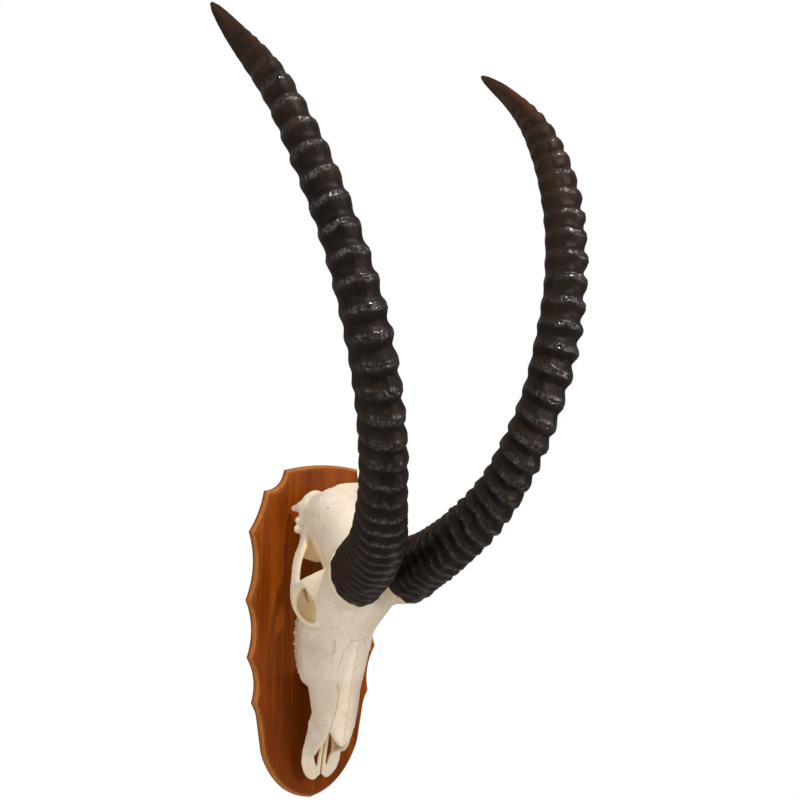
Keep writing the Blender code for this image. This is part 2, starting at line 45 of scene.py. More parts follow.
GAP = 0.35  # play between pieces that would touch
BONE_GRAIN = 1.7  # edge of the bone's surface cells
BONE_FACES = 186000  # triangles kept on the bone
HORN_AROUND = 96
HORN_ALONG = 720
SCREW_RADIUS = 2.4
SCREW_HEAD = 5.0
SKULL_SCREWS = (196.0, 396.0)
PEG_SIDES = 40


# Materials
class Look:
    """A procedural material: one Principled shader and a short way to add nodes to it."""

    def __init__(self, name, **sockets):
        self.mat = bpy.data.materials.new(name)
        self.mat.use_nodes = True
        self.tree = self.mat.node_tree
        self.shader = self.tree.nodes["Principled BSDF"]
        self.set(self.shader, sockets)

    def set(self, node, values):
        for key, value in values.items():
            socket = node.inputs[key if isinstance(key, int) else key.replace("_", " ")]
            if isinstance(value, bpy.types.NodeSocket):
                self.tree.links.new(value, socket)
            else:
                socket.default_value = value

    def node(self, kind, settings=None, sockets=None, **inputs):
        """A new node: its settings, then its inputs by number or name."""
        node = self.tree.nodes.new("ShaderNode" + kind)
        for key, value in (settings or {}).items():
            setattr(node, key, value)
        self.set(node, {**(sockets or {}), **inputs})
        return node

    def stretched(self, vector, scale):
        return self.node("Mapping", None, Vector=vector, Scale=scale).outputs[0] if scale else vector

    def place(self, *scale):
        """The point in the object's frame, stretched."""
        return self.stretched(self.node("TexCoord").outputs["Object"], scale)

    def value(self, name, output="Fac"):
        return self.node("Attribute", {"attribute_name": name}).outputs[output]

    def vector(self, name, *scale):
        return self.stretched(self.value(name, "Vector"), scale)

    def noise(self, vector, scale, detail=3.0, rough=0.5, warp=0.0):
        return self.node("TexNoise", None, Vector=vector, Scale=scale, Detail=detail, Roughness=rough,
                         Distortion=warp).outputs["Fac"]

    def math(self, operation, a, b=0.5):
        return self.node("Math", {"operation": operation}, {0: a, 1: b}).outputs[0]

    def span(self, value, low, high, to_low=0, to_high=1):
        return self.node("MapRange", {"interpolation_type": "SMOOTHSTEP"},
                         {0: value, 1: low, 2: high, 3: to_low, 4: to_high}).outputs[0]

    def mix(self, factor, a, b):
        return self.node("Mix", {"data_type": "RGBA"}, {0: factor, 6: a, 7: b}).outputs[2]

    def layers(self, colour, *coats):
        """A colour with others laid over it: where each one covers, and its display levels."""
        for cover, levels in coats:
            colour = self.mix(cover, colour, rgba(*levels))
        return colour

    def ramp(self, value, *stops):
        node = self.node("ValToRGB", None, Fac=value)
        band = node.color_ramp.elements
        while len(band) < len(stops):
            band.new(0.5)
        for element, (at, levels) in zip(band, stops):
            element.position = at
            element.color = rgba(*levels)
        return node.outputs["Color"]

    def bump(self, height, distance, strength, normal=None):
        return self.node("Bump", None, {"Normal": normal} if normal else None, Height=height,
                         Distance=distance, Strength=strength).outputs["Normal"]

    def finish(self, **sockets):
        self.set(self.shader, sockets)
        return self.mat


def rgba(*levels):
    """A colour from display levels between 0 and 255."""
    return (*(((c / 255 + 0.055) / 1.055) ** 2.4 if c > 10 else c / 3295 for c in levels), 1.0)


def bone_look():
    look = Look("bleached_bone", Specular_IOR_Level=0.35)
    where = look.place()
    broad = look.noise(where, 14, 4, 0.55)
    fine = look.noise(where, 160, 4, 0.6)
    veins = look.noise(look.place(1, 1, 0.4), 55, 5, 0.7, 1.2)
    hairline = look.span(look.math("ABSOLUTE", look.math("SUBTRACT", veins, 0.5)), 0, 0.012, 0.14, 0)
    # Beige in the hollows, lighter than the bone: partly the bone's own beige, partly painted light lifting
    # their shade.
    beige_and_painted_light = look.math("MULTIPLY", look.value("tint_mask"), look.span(broad, 0.2, 0.6, 0.7, 1))
    # The last layer darkens the sutures' dark joints, and paints shade in the small holes and the deep
    # fissure.
    colour = look.layers(
        rgba(240, 223, 203), (look.span(broad, 0.35, 0.7), (222, 201, 174)),
        (look.span(fine, 0.5, 0.75, 0, 0.5), (200, 180, 152)), (hairline, (168, 142, 110)),
        (beige_and_painted_light, (250, 228, 184)), (look.value("seams_and_shade"), (112, 90, 66)))
    pores = look.node("TexVoronoi", None, Vector=look.place(1, 1, 0.45), Scale=620).outputs["Distance"]
    grain = look.noise(look.place(1, 1, 0.25), 420, 5, 0.65)
    normal = look.bump(grain, 0.0006, 0.35)
    normal = look.bump(look.span(pores, 0, 0.35), 0.0005, 0.25, normal)
    return look.finish(Base_Color=colour, Roughness=look.span(broad, 0.2, 0.8, 0.5, 0.68), Normal=normal)


def tooth_look():
    look = Look("tooth_enamel", Specular_IOR_Level=0.5)
    streak = look.noise(look.place(1, 0.2, 1), 420, 4, 0.6)
    # Darker brown towards the root end, between the ribs, in the inner folds and down the crown's dips.
    colour = look.layers(rgba(240, 222, 192), (look.span(streak, 0.35, 0.7), (220, 196, 158)),
                         (look.value("tint_mask"), (160, 126, 86)))
    rough = look.span(look.noise(look.place(), 90), 0.3, 0.7, 0.3, 0.5)
    return look.finish(Base_Color=colour, Roughness=rough, Normal=look.bump(streak, 0.0005, 0.4))


def horn_look():
    look = Look("horn_keratin", Specular_IOR_Level=0.16, Specular_Tint=(1, 0.88, 0.78, 1),
                Coat_Roughness=0.1, Coat_IOR=1.75)
    long_lines = look.noise(look.vector("lay", 1, 1, 0.035), 520, 5, 0.62)
    broad = look.noise(look.vector("lay", 1, 1, 0.3), 38, 4, 0.55)
    flake = look.noise(look.vector("lay", 1, 1, 0.5), 300, 4, 0.7)
    crest = look.value("crest")
    around = look.node("SeparateXYZ", None, Vector=look.vector("lay"))
    behind = look.span(around.outputs["Y"], -0.018, 0.02, 1, 0)
    dark = look.layers(rgba(20, 12, 8), (look.span(broad, 0.3, 0.72), (38, 24, 15)))
    red = look.layers(rgba(44, 24, 13), (look.span(broad, 0.3, 0.7), (82, 46, 24)))
    # Near black in the ring valleys: painted shade.
    colour = look.layers(
        look.mix(look.value("tip"), dark, red), (look.span(long_lines, 0.5, 0.75, 0, 0.45), (54, 38, 28)),
        (look.value("ring_valley_shade"), (8, 5, 4)), (look.math("MULTIPLY", behind, 0.6), (50, 36, 24)))
    rough = look.span(flake, 0.3, 0.7, 0.4, 0.54)
    rough = look.math("ADD", rough, look.span(long_lines, 0.4, 0.7, 0, 0.08))
    rough = look.math("ADD", rough, look.math("MULTIPLY", behind, 0.2))
    gloss = look.math("MULTIPLY", crest, look.span(flake, 0.42, 0.6, 0.12, 1))
    normal = look.bump(long_lines, 0.0008, look.span(crest, 0, 1, 0.5, 0.9))
    normal = look.bump(flake, 0.0006, look.span(crest, 0, 1, 0.3, 0.9), normal)
    return look.finish(Base_Color=colour, Roughness=rough, Normal=normal, Coat_Weight=gloss,
                       Coat_Normal=normal)


def wood_look():
    look = Look("stained_wood", Specular_IOR_Level=0.12, Specular_Tint=(1, 0.8, 0.6, 1), Coat_Weight=0.06,
                Coat_Roughness=0.15)
    warp = look.noise(look.place(1, 1, 0.22), 9, 2, 0.5)
    bands = look.noise(look.place(1, 0.6, 0.045), 60, 4, 0.55, 0.6)
    grain = look.noise(look.place(1, 1, 0.03), 420, 5, 0.65, 0.2)
    pores = look.noise(look.place(1, 1, 0.05), 1300, 2, 0.5)
    colour = look.ramp(bands, (0.3, (110, 46, 2)), (0.5, (138, 60, 3)), (0.68, (166, 82, 8)))
    colour = look.layers(colour, (look.span(warp, 0.35, 0.7, 0, 0.5), (108, 44, 6)),
                         (look.span(grain, 0.45, 0.75, 0, 0.5), (84, 32, 4)))
    # Golden on the moulded bead: a lighter edge finish, partly painted highlight along the bead.
    gold = look.layers(rgba(188, 116, 50), (look.span(grain, 0.35, 0.7), (156, 86, 32)))
    # Dark in the groove before the face (painted shade) and on the side wall (painted shade with some dark
    # stain).
    colour = look.layers(look.mix(look.value("gold_and_highlight"), colour, gold), (look.value("groove_and_wall_shade"), (64, 28, 10)),
                         (look.span(pores, 0.62, 0.72, 0, 0.45), (58, 24, 8)))
    normal = look.bump(grain, 0.0004, 0.2, look.bump(pores, 0.0003, 0.25))
    return look.finish(Base_Color=colour, Roughness=look.span(grain, 0.3, 0.8, 0.34, 0.5), Normal=normal)


def steel_look():
    look = Look("hanger_steel", Metallic=1)
    brushed = look.noise(look.place(0.05, 1, 1), 900, 4, 0.6)
    spots = look.noise(look.place(), 150, 4, 0.65)
    colour = look.layers(rgba(186, 184, 178), (look.span(spots, 0.5, 0.75), (138, 128, 116)))
    return look.finish(Base_Color=colour, Roughness=look.span(brushed, 0.3, 0.7, 0.26, 0.44),
                       Normal=look.bump(brushed, 0.0002, 0.3))


# Shapes
def clamp(value):
    return np.clip(value, 0, 1)


def unit(rows):
    return rows / np.linalg.norm(rows, axis=1)[:, None]


def through(table, steps):
    """A smooth curve through a table's rows, with this many steps between each two."""
    rows = np.array(table, dtype=float)
    gaps = np.linalg.norm(np.diff(rows[:, :3], axis=0), axis=1)
    knots = np.concatenate(([0.0], np.cumsum(gaps)))
    slopes = np.gradient(rows, knots, axis=0)
    samples = []
    for i in range(len(rows) - 1):
        width = knots[i + 1] - knots[i]
        for j in range(steps + 1 if i == len(rows) - 2 else steps):
            t = j / steps
            samples.append((2 * t**3 - 3 * t**2 + 1) * rows[i] + (t**3 - 2 * t**2 + t) * width * slopes[i]
                           + (3 * t**2 - 2 * t**3) * rows[i + 1] + (t**3 - t**2) * width * slopes[i + 1])
    return np.array(samples)


def value_at(table, at, column=1):
    rows = np.array(table, dtype=float)
    return np.interp(at, rows[:, 0], rows[:, column])


def linked(name, data):
    """A new object in the scene."""
    obj = bpy.data.objects.new(name, data)
    bpy.context.collection.objects.link(obj)
    return obj


def paint(mesh, values):
    """Stores numbers or vectors with a mesh's points, for its material."""
    for key, numbers in values.items():
        kind, field = ("FLOAT", "value") if numbers.ndim == 1 else ("FLOAT_VECTOR", "vector")
        stored = mesh.attributes.new(key, kind, "POINT").data
        stored.foreach_set(field, numbers.astype(np.float32).ravel())


def piece(name, points, faces, mat, node, values, crease):
    """Puts a finished mesh, given in millimetres, in the scene for a node of the model."""
    mesh = bpy.data.meshes.new(name)
    mesh.from_pydata(((points - (0, 0, CENTRE)) * MM).tolist(), [], faces)
    mesh.validate()
    mesh.materials.append(mat)
    mesh.shade_smooth()
    mesh.set_sharp_from_angle(angle=math.radians(crease))
    paint(mesh, values)
    obj = linked(name, mesh)
    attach(obj, "root")
    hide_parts(*([node] if isinstance(node, str) else node))


def tube(rows):
    """Points and faces of a closed skin over rows of points, with a point in the middle of each end."""
    count, around, _ = rows.shape
    points = np.concatenate((rows.reshape(-1, 3), [rows[0].mean(0)], [rows[-1].mean(0)]))
    i = (np.arange(count - 1) * around)[:, None]
    j = np.arange(around)[None]
    k = (j + 1) % around
    faces = np.stack((i + j, i + k, i + around + k, i + around + j), -1).reshape(-1, 4).tolist()
    first = count * around
    top = first - around
    for a in range(around):
        b = (a + 1) % around
        faces += [(b, a, first), (top + a, top + b, first + 1)]
    return points, faces


def facing(faces, side):
    """Faces that look outwards on this side of the object."""
    return faces if side < 0 else [f[::-1] for f in faces]


def skin(bm, rings):
    """Faces between rings of points, closed at both ends."""
    loops = [[bm.verts.new(p) for p in ring] for ring in rings]
    count = len(loops[0])
    for low, high in zip(loops, loops[1:]):
        for i in range(count):
            j = (i + 1) % count
            bm.faces.new((low[i], low[j], high[j], high[i]))
    bm.faces.new(loops[0][::-1])
    bm.faces.new(loops[-1])


def draft(bm, name):
    """A working object, with its faces turned outwards."""
    bmesh.ops.recalc_face_normals(bm, faces=bm.faces)
    mesh = bpy.data.meshes.new(name)
    bm.to_mesh(mesh)
    bm.free()
    return linked(name, mesh)


def baked(obj):
    """A new mesh with the object's modifiers in it."""
    graph = bpy.context.evaluated_depsgraph_get()
    return bpy.data.meshes.new_from_object(obj.evaluated_get(graph))


def ripple(turn, along, seed, turns, stretch, count):
    """Smooth noise round and along a horn: sums of waves that close up round it."""
    rng = np.random.default_rng(seed)
    total = np.zeros(np.broadcast(turn, along).shape)
    for _ in range(count):
        k = rng.integers(turns[0], turns[1] + 1)
        total += np.sin(k * turn + rng.uniform(-1, 1) * along / stretch * 2 * math.pi + rng.uniform(0, 6.3))
    return total / math.sqrt(count / 2)


# Horns
HORN_AXIS = [
    (43.5, -185, 353), (64.3, -260, 401), (91, -310.5, 458), (122, -351, 553), (157, -364, 678),
    (185, -350, 782), (210, -313, 887), (230.5, -241, 999), (240, -160, 1075),
]
HORN_TIP = {-1: (241, -98, 1130), 1: (240, -94, 1123.5)}
RIM_NORMAL = np.array(Vector((0.0, -0.93, 0.36)).normalized())
RIM_BLEND = 70.0
# distance along the axis, the section's long and short diameter, and how far its front turns inwards
HORN_FORM = [
    (0, 90, 85, 0), (14, 89, 82, 8), (40, 86, 76, 24), (70, 80.8, 73.5, 31), (100, 77.1, 71.5, 33),
    (150, 70.7, 64.5, 14), (200, 66.3, 58.3, 6), (250, 65, 57, 5), (300, 63.6, 56, 4),
    (350, 63, 55.4, 1), (400, 62.6, 55, -2), (450, 61.3, 54, -9), (500, 59, 52, -19),
    (550, 58, 50, -28), (600, 56.6, 48.4, -35), (650, 55.1, 46.8, -35), (700, 51.8, 43.5, -28),
    (750, 48, 40.5, -18), (800, 40.5, 36, -2), (850, 33.2, 28.5, 18), (885, 28, 22.5, 22),
    (920, 21, 18, 20), (945, 14.5, 13, 20), (960, 7, 6.5, 20),
]
RING_STEP = [
    (0, 9.5), (60, 12.5), (100, 16), (200, 24), (300, 30), (500, 33.5), (740, 35), (800, 24), (880, 20),
]
RING_STAND = [
    (0, 1.6), (60, 3), (120, 3.8), (200, 5), (300, 6.1), (400, 6.3), (600, 5.9), (700, 4.7), (780, 3),
    (840, 1), (865, 0.2), (880, 0),
]
# where along a ring its hollow lies, and how wide the hollow is against the crest
RING_HOLLOW = [
    (0, 0.5, 1), (120, 0.6, 0.9), (200, 0.64, 0.75), (330, 0.62, 0.75), (450, 0.42, 1.15),
    (900, 0.38, 1.3),
]
# how far a ring's front hangs below its sides, and how far the rings sit above even steps on each horn
RING_DROOP = [(0, 4), (60, 6), (150, 9), (300, 9.5), (340, 7), (380, 3), (430, 1), (500, 0)]
RING_SHIFT = {
    -1: [(0, 0), (150, 5), (300, 9.5), (500, 11.5), (700, 15)],
    1: [(0, 0), (150, 4), (285, 7), (411, 13), (519, 14), (680, 13), (720, 8), (790, 2)],
}
FIRST_RING = 16.0
LAST_RING = 850.0
# waves on a sheath: seed, fewest and most of them round it, stretch along it, and how many are summed
WAVES = {
    "sway": (20, (1, 3), 170, 9), "wobble": (30, (4, 11), 60, 9), "stand": (40, (2, 9), 70, 9),
    "lines": (50, (26, 40), 400, 16), "lumps": (60, (2, 6), 150, 9), "pocks": (70, (6, 16), 16, 14),
    "rim": (80, (5, 22), 22, 14), "lip": (90, (8, 20), 40, 9),
}
HORN_SEED = {-1: 11, 1: 12}
TIP_TONE = {-1: 0.45, 1: 1.0}
TIP_ROUND = 4.0  # length of the rounded end
WORN = 160.0  # length of the smooth stretch before the tip
CROWDED = 260.0  # where the rings stop being crowded and wavy
BACK_RINGS = (0.45, 40, 100, 260, 380)  # how much deeper on the right horn's back, and where
RIM_ROUGH = 14.0
RIM_LIP = 2.6
LIP_WIDTH = 0.045  # of the groove in a ring's crest, against the ring's step
LAY_RADIUS = 30.0  # of the round bar on which the surface's pattern is laid out


def ring_places(side, rng):
    """Where the crests lie along the axis, with one more beyond each end."""
    places = [FIRST_RING]
    while places[-1] < LAST_RING:
        places.append(places[-1] + value_at(RING_STEP, places[-1]) * rng.uniform(0.95, 1.05))
    places = np.array([-FIRST_RING * 0.4, *places, places[-1] + 22])
    return places + value_at(RING_SHIFT[side], places)


def horn(name, node, side, mat):
    """A ringed sheath on a curved axis, worn plain towards its tip."""
    samples = through([*HORN_AXIS, HORN_TIP[side]], 40)
    reached = np.concatenate(([0.0], np.cumsum(np.linalg.norm(np.diff(samples, axis=0), axis=1))))
    length = reached[-1]
    seed = HORN_SEED[side]
    rng = np.random.default_rng(seed)
    places = ring_places(side, rng)

    def on_axis(where):
        return np.stack([np.interp(where, reached, samples[:, k]) for k in range(3)], 1)

    end = length - TIP_ROUND * (1 - np.sin(np.linspace(0, math.pi / 2, 10)))
    s = np.concatenate(([0.0, 0.5, 1.4, RIM_LIP], np.linspace(4, length - 5, HORN_ALONG), end))
    tangent = unit(on_axis(np.minimum(s + 4, length)) - on_axis(np.maximum(s - 4, 0)))
    blend = clamp(s / RIM_BLEND)
    blend = (blend * blend * (3 - 2 * blend))[:, None]
    normal = unit(RIM_NORMAL * (1 - blend) + tangent * blend)
    sideways = unit(np.array((1, 0, 0)) - normal * normal[:, :1])
    forward = np.cross(normal, sideways)
    forward[forward[:, 1] > 0] *= -1

    turn = np.linspace(0, 2 * math.pi, HORN_AROUND, endpoint=False)[None]
    ahead = np.sin(turn)
    at = s[:, None]
    crowd = clamp(1 - at / CROWDED)
    worn = clamp((length - at) / WORN)
    waves = {key: ripple(turn, at, seed + extra, *form) for key, (extra, *form) in WAVES.items()}
    sway = waves["sway"] * (1.0 + 1.1 * crowd) + waves["wobble"] * (0.35 + 0.55 * crowd) \
        - value_at(RING_DROOP, at) * ahead
    phase = np.interp(at - sway, places, np.arange(len(places)))
    number = np.floor(phase).astype(int)
    part = phase - number
    dip, round_off = value_at(RING_HOLLOW, at), value_at(RING_HOLLOW, at, 2)
    bend = np.where(part < dip, part / dip, 2 - (1 - part) / (1 - dip)) / 2
    height = ((1 + np.cos(2 * math.pi * bend)) / 2) ** round_off
    uneven = rng.uniform(0.82, 1.12, len(places) + 2)
    lift = uneven[number] * (1 - part) + uneven[number + 1] * part
    front = 0.6 + 0.4 * ahead
    if side > 0:
        deeper, rise, full, fade, end = BACK_RINGS
        front = front + deeper * clamp(-ahead) * clamp((at - rise) / (full - rise)) \
            * clamp((end - at) / (end - fade))
    stand = value_at(RING_STAND, at) * front * lift * (1 + (0.1 + 0.32 * crowd) * waves["stand"])
    swell = stand * (height - 0.71 + 0.205 * round_off)
    lipped = np.exp(-((part - np.round(part)) / LIP_WIDTH) ** 2) * clamp(0.3 + ahead) * (1 - 0.6 * crowd)
    swell -= stand * 0.2 * lipped * (1 + 0.6 * waves["lip"])
    swell += 0.16 * waves["lines"] * (0.4 + 0.8 * height) * worn
    swell += 0.35 * waves["lumps"]
    swell += 0.22 * waves["pocks"] * (0.5 + 1.6 * crowd) * worn
    swell += clamp(1 - at / RIM_ROUGH) * 0.6 * waves["rim"]
    swell *= clamp((length - at) / 30)
    lip = clamp(1 - at / RIM_LIP) ** 2 * 1.3
    tipped = np.sqrt(clamp(1 - ((at - length + TIP_ROUND) / (TIP_ROUND + 0.02)) ** 2))
    tipped = np.where(at > length - TIP_ROUND, tipped, 1.0)
    lean = np.radians(value_at(HORN_FORM, s, 3))[:, None]
    deepways = forward * np.cos(lean) - sideways * np.sin(lean)
    across = sideways * np.cos(lean) + forward * np.sin(lean)
    deep, wide = ((value_at(HORN_FORM, at, k) / 2 + swell - lip) * tipped for k in (1, 2))
    rows = on_axis(s)[:, None] + across[:, None] * (wide * np.cos(turn))[..., None] \
        + deepways[:, None] * (deep * ahead)[..., None]
    rows[:, :, 0] *= side
    order = np.s_[:, ::side]
    points, faces = tube(rows[order])
    lay = np.stack(np.broadcast_arrays(LAY_RADIUS * np.cos(turn), LAY_RADIUS * ahead, at), -1)[order] * MM
    lay = np.concatenate((lay.reshape(-1, 3), [[0, 0, 0], [0, 0, length * MM]]))

    def spread(grid, last=0):
        return np.concatenate((np.broadcast_to(grid, wide.shape)[order].ravel(), [0, last]))
    tip = clamp((at - 560) / 330) ** 1.3 * TIP_TONE[side]
    # Darker in the ring valleys between the crests: painted shade.
    ring_valley_shade = clamp(1 - height * 1.6) * 0.5 * clamp(stand / 4)
    crest = clamp(height * 2.6 - 1.7) * clamp(value_at(RING_STAND, at) / 3 - 0.3)
    crest = crest * (1 - 0.3 * crowd) * (0.35 + 0.65 * clamp(0.4 + ahead))
    piece(name, points, facing(faces, side), mat, node,
          {"lay": lay, "tip": spread(tip, 1), "ring_valley_shade": spread(ring_valley_shade), "crest": spread(crest)}, 80)


# Skull
FAR = 50.0  # distance in the cells that no body reaches
SHARP = 0.01  # blend of a seam that is left sharp


class Field:
    """Signed distances in millimetres on a grid over the skull's right half; the left half mirrors it."""

    def __init__(self, low, high, step):
        self.step = step
        self.axes = [np.arange(a, b + step, step) for a, b in zip(low, high)]
        self.values = np.full([len(a) for a in self.axes], FAR)

    def add(self, shapes, blend=SHARP, sign=1):
        """Joins bodies to this one, or with sign -1 cuts them away, over a seam as wide as the blend."""
        for low, high, distance in shapes:
            reach = blend + 2 * self.step
            spans = tuple(slice(*np.searchsorted(axis, (a - reach, b + reach)))
                          for axis, a, b in zip(self.axes, low, high))
            grid = np.meshgrid(*[axis[span] for axis, span in zip(self.axes, spans)], indexing="ij",
                               sparse=True)
            old, new = self.values[spans], sign * distance(*grid)
            h = clamp(0.5 + sign * 0.5 * (new - old) / blend)
            self.values[spans] = new + (old - new) * h - sign * blend * h * (1 - h)

    def cut(self, shapes, blend=SHARP):
        self.add(shapes, blend, -1)

    def surface(self):
        """Points and faces where the distance is nought: one point in each cell that it crosses."""
        values = np.concatenate((self.values[:0:-1], self.values))
        inside = values < 0
        shape = np.array(values.shape) - 1
        corners = sum(inside[i:i + shape[0], j:j + shape[1], k:k + shape[2]].astype(np.int8)
                      for i, j, k in np.ndindex(2, 2, 2))
        cells = np.argwhere((corners > 0) & (corners < 8))
        number = np.full(shape, -1)
        number[tuple(cells.T)] = np.arange(len(cells))
        total, hits = np.zeros((len(cells), 3)), np.zeros(len(cells))
        for k, a, b in np.ndindex(3, 2, 2):
            start, end = (np.insert([a, b], k, step) for step in (0, 1))
            v0, v1 = (values[tuple((cells + corner).T)] for corner in (start, end))
            crossed = (v0 < 0) != (v1 < 0)
            t = v0[crossed] / (v0[crossed] - v1[crossed])
            total[crossed] += start + t[:, None] * (end - start)
            hits[crossed] += 1
        points = cells + total / hits[:, None]
        faces = []
        for k in range(3):
            near = [slice(1, None)] * 3
            near[k] = slice(None, -1)
            at = np.argwhere(inside[tuple(near)] != inside[1:, 1:, 1:]) + np.insert([1, 1], k, 0)
            one, two = (np.insert(v, k, 0) for v in ([1, 0], [0, 1]))
            ring = [number[tuple((at - one * p - two * q).T)] for p, q in ((0, 0), (1, 0), (1, 1), (0, 1))]
            ring = np.stack(ring, 1)
            flip = inside[tuple(at.T)] != (k == 1)
            ring[flip] = ring[flip][:, ::-1]
            faces.append(ring)
        origin = np.array([-self.axes[0][-1], self.axes[1][0], self.axes[2][0]])
        return points * self.step + origin, np.concatenate(faces)


def dot(one, two):
    return sum(a * b for a, b in zip(one, two))


def root(parts):
    return np.sqrt(sum(p**2 for p in parts))


def offset(point, start):
    return [p - s for p, s in zip(point, start)]


def oval(u, v, a, b, power, least):
    """Distance to an oval or squarish section, from offsets given as parts of its radii a and b."""
    size = np.maximum((u**power + v**power) ** (1 / power), 1e-3)
    slope = size ** (1 - power) * np.sqrt((u ** (power - 1) / a) ** 2 + (v ** (power - 1) / b) ** 2)
    return (size - 1) / np.maximum(slope, least)


def slab(table):
    """A body given by level slices: height, half width, front, back, depth of the widest point, and how
    square the front and the back of the slice are."""
    rows = through(table, 8)
    half, front, back = rows[:, 1].max(), rows[:, 2].min(), rows[:, 3].max()

    def distance(x, y, z):
        a, f, b, w, p, q = (np.interp(z, rows[:, 0], rows[:, k]) for k in range(1, 7))
        side = y < w
        reach = np.where(side, w - f, b - w)
        flat = oval(np.abs(x) / a, np.abs(y - w) / reach, a, reach, np.where(side, p, q), 1 / 60)
        return np.maximum(flat, np.maximum(rows[0, 0] - z, z - rows[-1, 0]))
    return [((0, front, rows[0, 0]), (half, back, rows[-1, 0]), distance)]


def from_run(start, run, point):
    """How far along a run a point lies, from 0 to 1, and its offset from there."""
    gap = offset(point, start)
    t = clamp(dot(gap, run) / (run @ run))
    return t, [g - t * r for g, r in zip(gap, run)]


def bar(r, s, power):
    """A stretch of a flat bar between two rows: middle, half width as a vector, and half thickness."""
    run = s[:3] - r[:3]
    ahead = run / math.sqrt(run @ run)
    half = (np.linalg.norm(r[3:6]), np.linalg.norm(s[3:6]))
    across = r[3:6] / half[0] + s[3:6] / half[1]
    across -= ahead * (across @ ahead)
    across /= np.linalg.norm(across)
    up = np.cross(ahead, across)
    ends = np.array([point + turn * width for point, width in ((r[:3], half[0]), (s[:3], half[1]))
                     for turn in (across, -across)])
    pad = max(r[6], s[6])

    def distance(*point):
        t, gap = from_run(r, run, point)
        u, v, w = (np.abs(dot(gap, axis)) for axis in (across, up, ahead))
        a, b = half[0] + t * (half[1] - half[0]), r[6] + t * (s[6] - r[6])
        flat = oval(u / a, v / b, a, b, power, 1 / 20)
        return np.where(w < 1e-6, flat, np.hypot(np.maximum(flat + 0.4, 0), w) - 0.4)
    return ends.min(0) - pad, ends.max(0) + pad, distance


def blade(table, steps=5, power=2.6):
    """A flat bar of bone: points along its two edges, and its half thickness."""
    one, other, thick = np.split(np.array(table, dtype=float), (3, 6), 1)
    rows = through(np.hstack((0.5 * (one + other), 0.5 * (one - other), thick)), steps)
    return [bar(r, s, power) for r, s in zip(rows, rows[1:])]


def ball(centre, radii, tilt=0.0, axis="X"):
    turn = np.array(Matrix.Rotation(math.radians(-tilt), 3, axis))
    reach = max(radii)

    def distance(*point):
        local = [dot(offset(point, centre), axis) for axis in turn]
        near = root(g / r for g, r in zip(local, radii))
        slope = root(g / r**2 for g, r in zip(local, radii))
        return near * (near - 1) / np.maximum(slope, 1e-4)
    return [(np.array(centre) - reach, np.array(centre) + reach, distance)]


def round_bar(r, s):
    def distance(*point):
        t, gap = from_run(r, s[:3] - r[:3], point)
        return root(gap) - (r[3] + t * (s[3] - r[3]))
    pad = max(r[3], s[3])
    return np.minimum(r, s)[:3] - pad, np.maximum(r, s)[:3] + pad, distance


def rod(table):
    """A round bar: x, y, z and radius along it."""
    rows = through(table, 5)
    return [round_bar(r, s) for r, s in zip(rows, rows[1:])]


def plane(point, normal):
    """Everything on the side that the normal points to."""
    def distance(*place):
        return -dot(offset(place, point), normal)
    return [((-1e3,) * 3, (1e3,) * 3, distance)]


# Level slices through the big masses
FACE = [
    (118, 29, -96, -44, -70, 2.3, 2.8), (150, 33, -105, -42, -66, 2.3, 3),
    (175, 36, -109, -40, -60, 2.3, 3), (200, 43, -115, -36, -56, 2.2, 3),
    (226, 47.5, -122, -34, -56, 2.15, 2.8), (254, 50, -130, -34, -58, 2.1, 2.8),
    (282, 50, -142, -42, -78, 2.1, 2.8), (310, 44, -156, -54, -95, 2.2, 2.6),
    (340, 38, -166, -60, -105, 2.2, 2.4),
]
BRAINCASE = [
    (325, 34, -168, -66, -112, 2.2, 2.2), (350, 36, -176, -60, -108, 2.2, 2.2),
    (375, 42, -172, -48, -95, 2.2, 2.3), (400, 48, -160, -40, -80, 2.2, 2.4),
    (425, 53, -144, -34, -72, 2.2, 2.5), (448, 52, -130, -32, -72, 2.3, 2.6),
    (465, 44, -122, -32, -74, 2.3, 2.6), (488, 30, -112, -34, -74, 2.2, 2.4),
]
BROW = [
    (248, 28, -116, -84, -100, 2.4, 2.2), (264, 38, -128, -86, -104, 2.4, 2.2),
    (282, 50, -141, -94, -108, 2.4, 2.2), (300, 60, -154, -98, -112, 2.4, 2.2),
    (322, 64, -168, -98, -112, 2.3, 2.2), (343, 56, -176, -98, -114, 2.2, 2.2),
    (364, 40, -176, -100, -120, 2.1, 2.2),
]
CORE = [
    (256, 14, -112, -66, -92, 2, 2), (285, 20, -132, -68, -100, 2, 2), (320, 22, -160, -62, -100, 2, 2),
    (350, 24, -165, -56, -95, 2, 2), (385, 34, -165, -46, -90, 2, 2),
]
NASAL = [
    (94, 3, -93, -88.5, -90.5, 2, 2), (99, 9, -95, -87.5, -90, 2, 2),
    (106, 14, -96.5, -86, -89, 2.2, 2), (118, 19, -98.5, -84, -87, 2.3, 2),
    (136, 22, -102, -82, -86, 2.3, 2), (156, 23, -106, -80, -86, 2.3, 2),
]
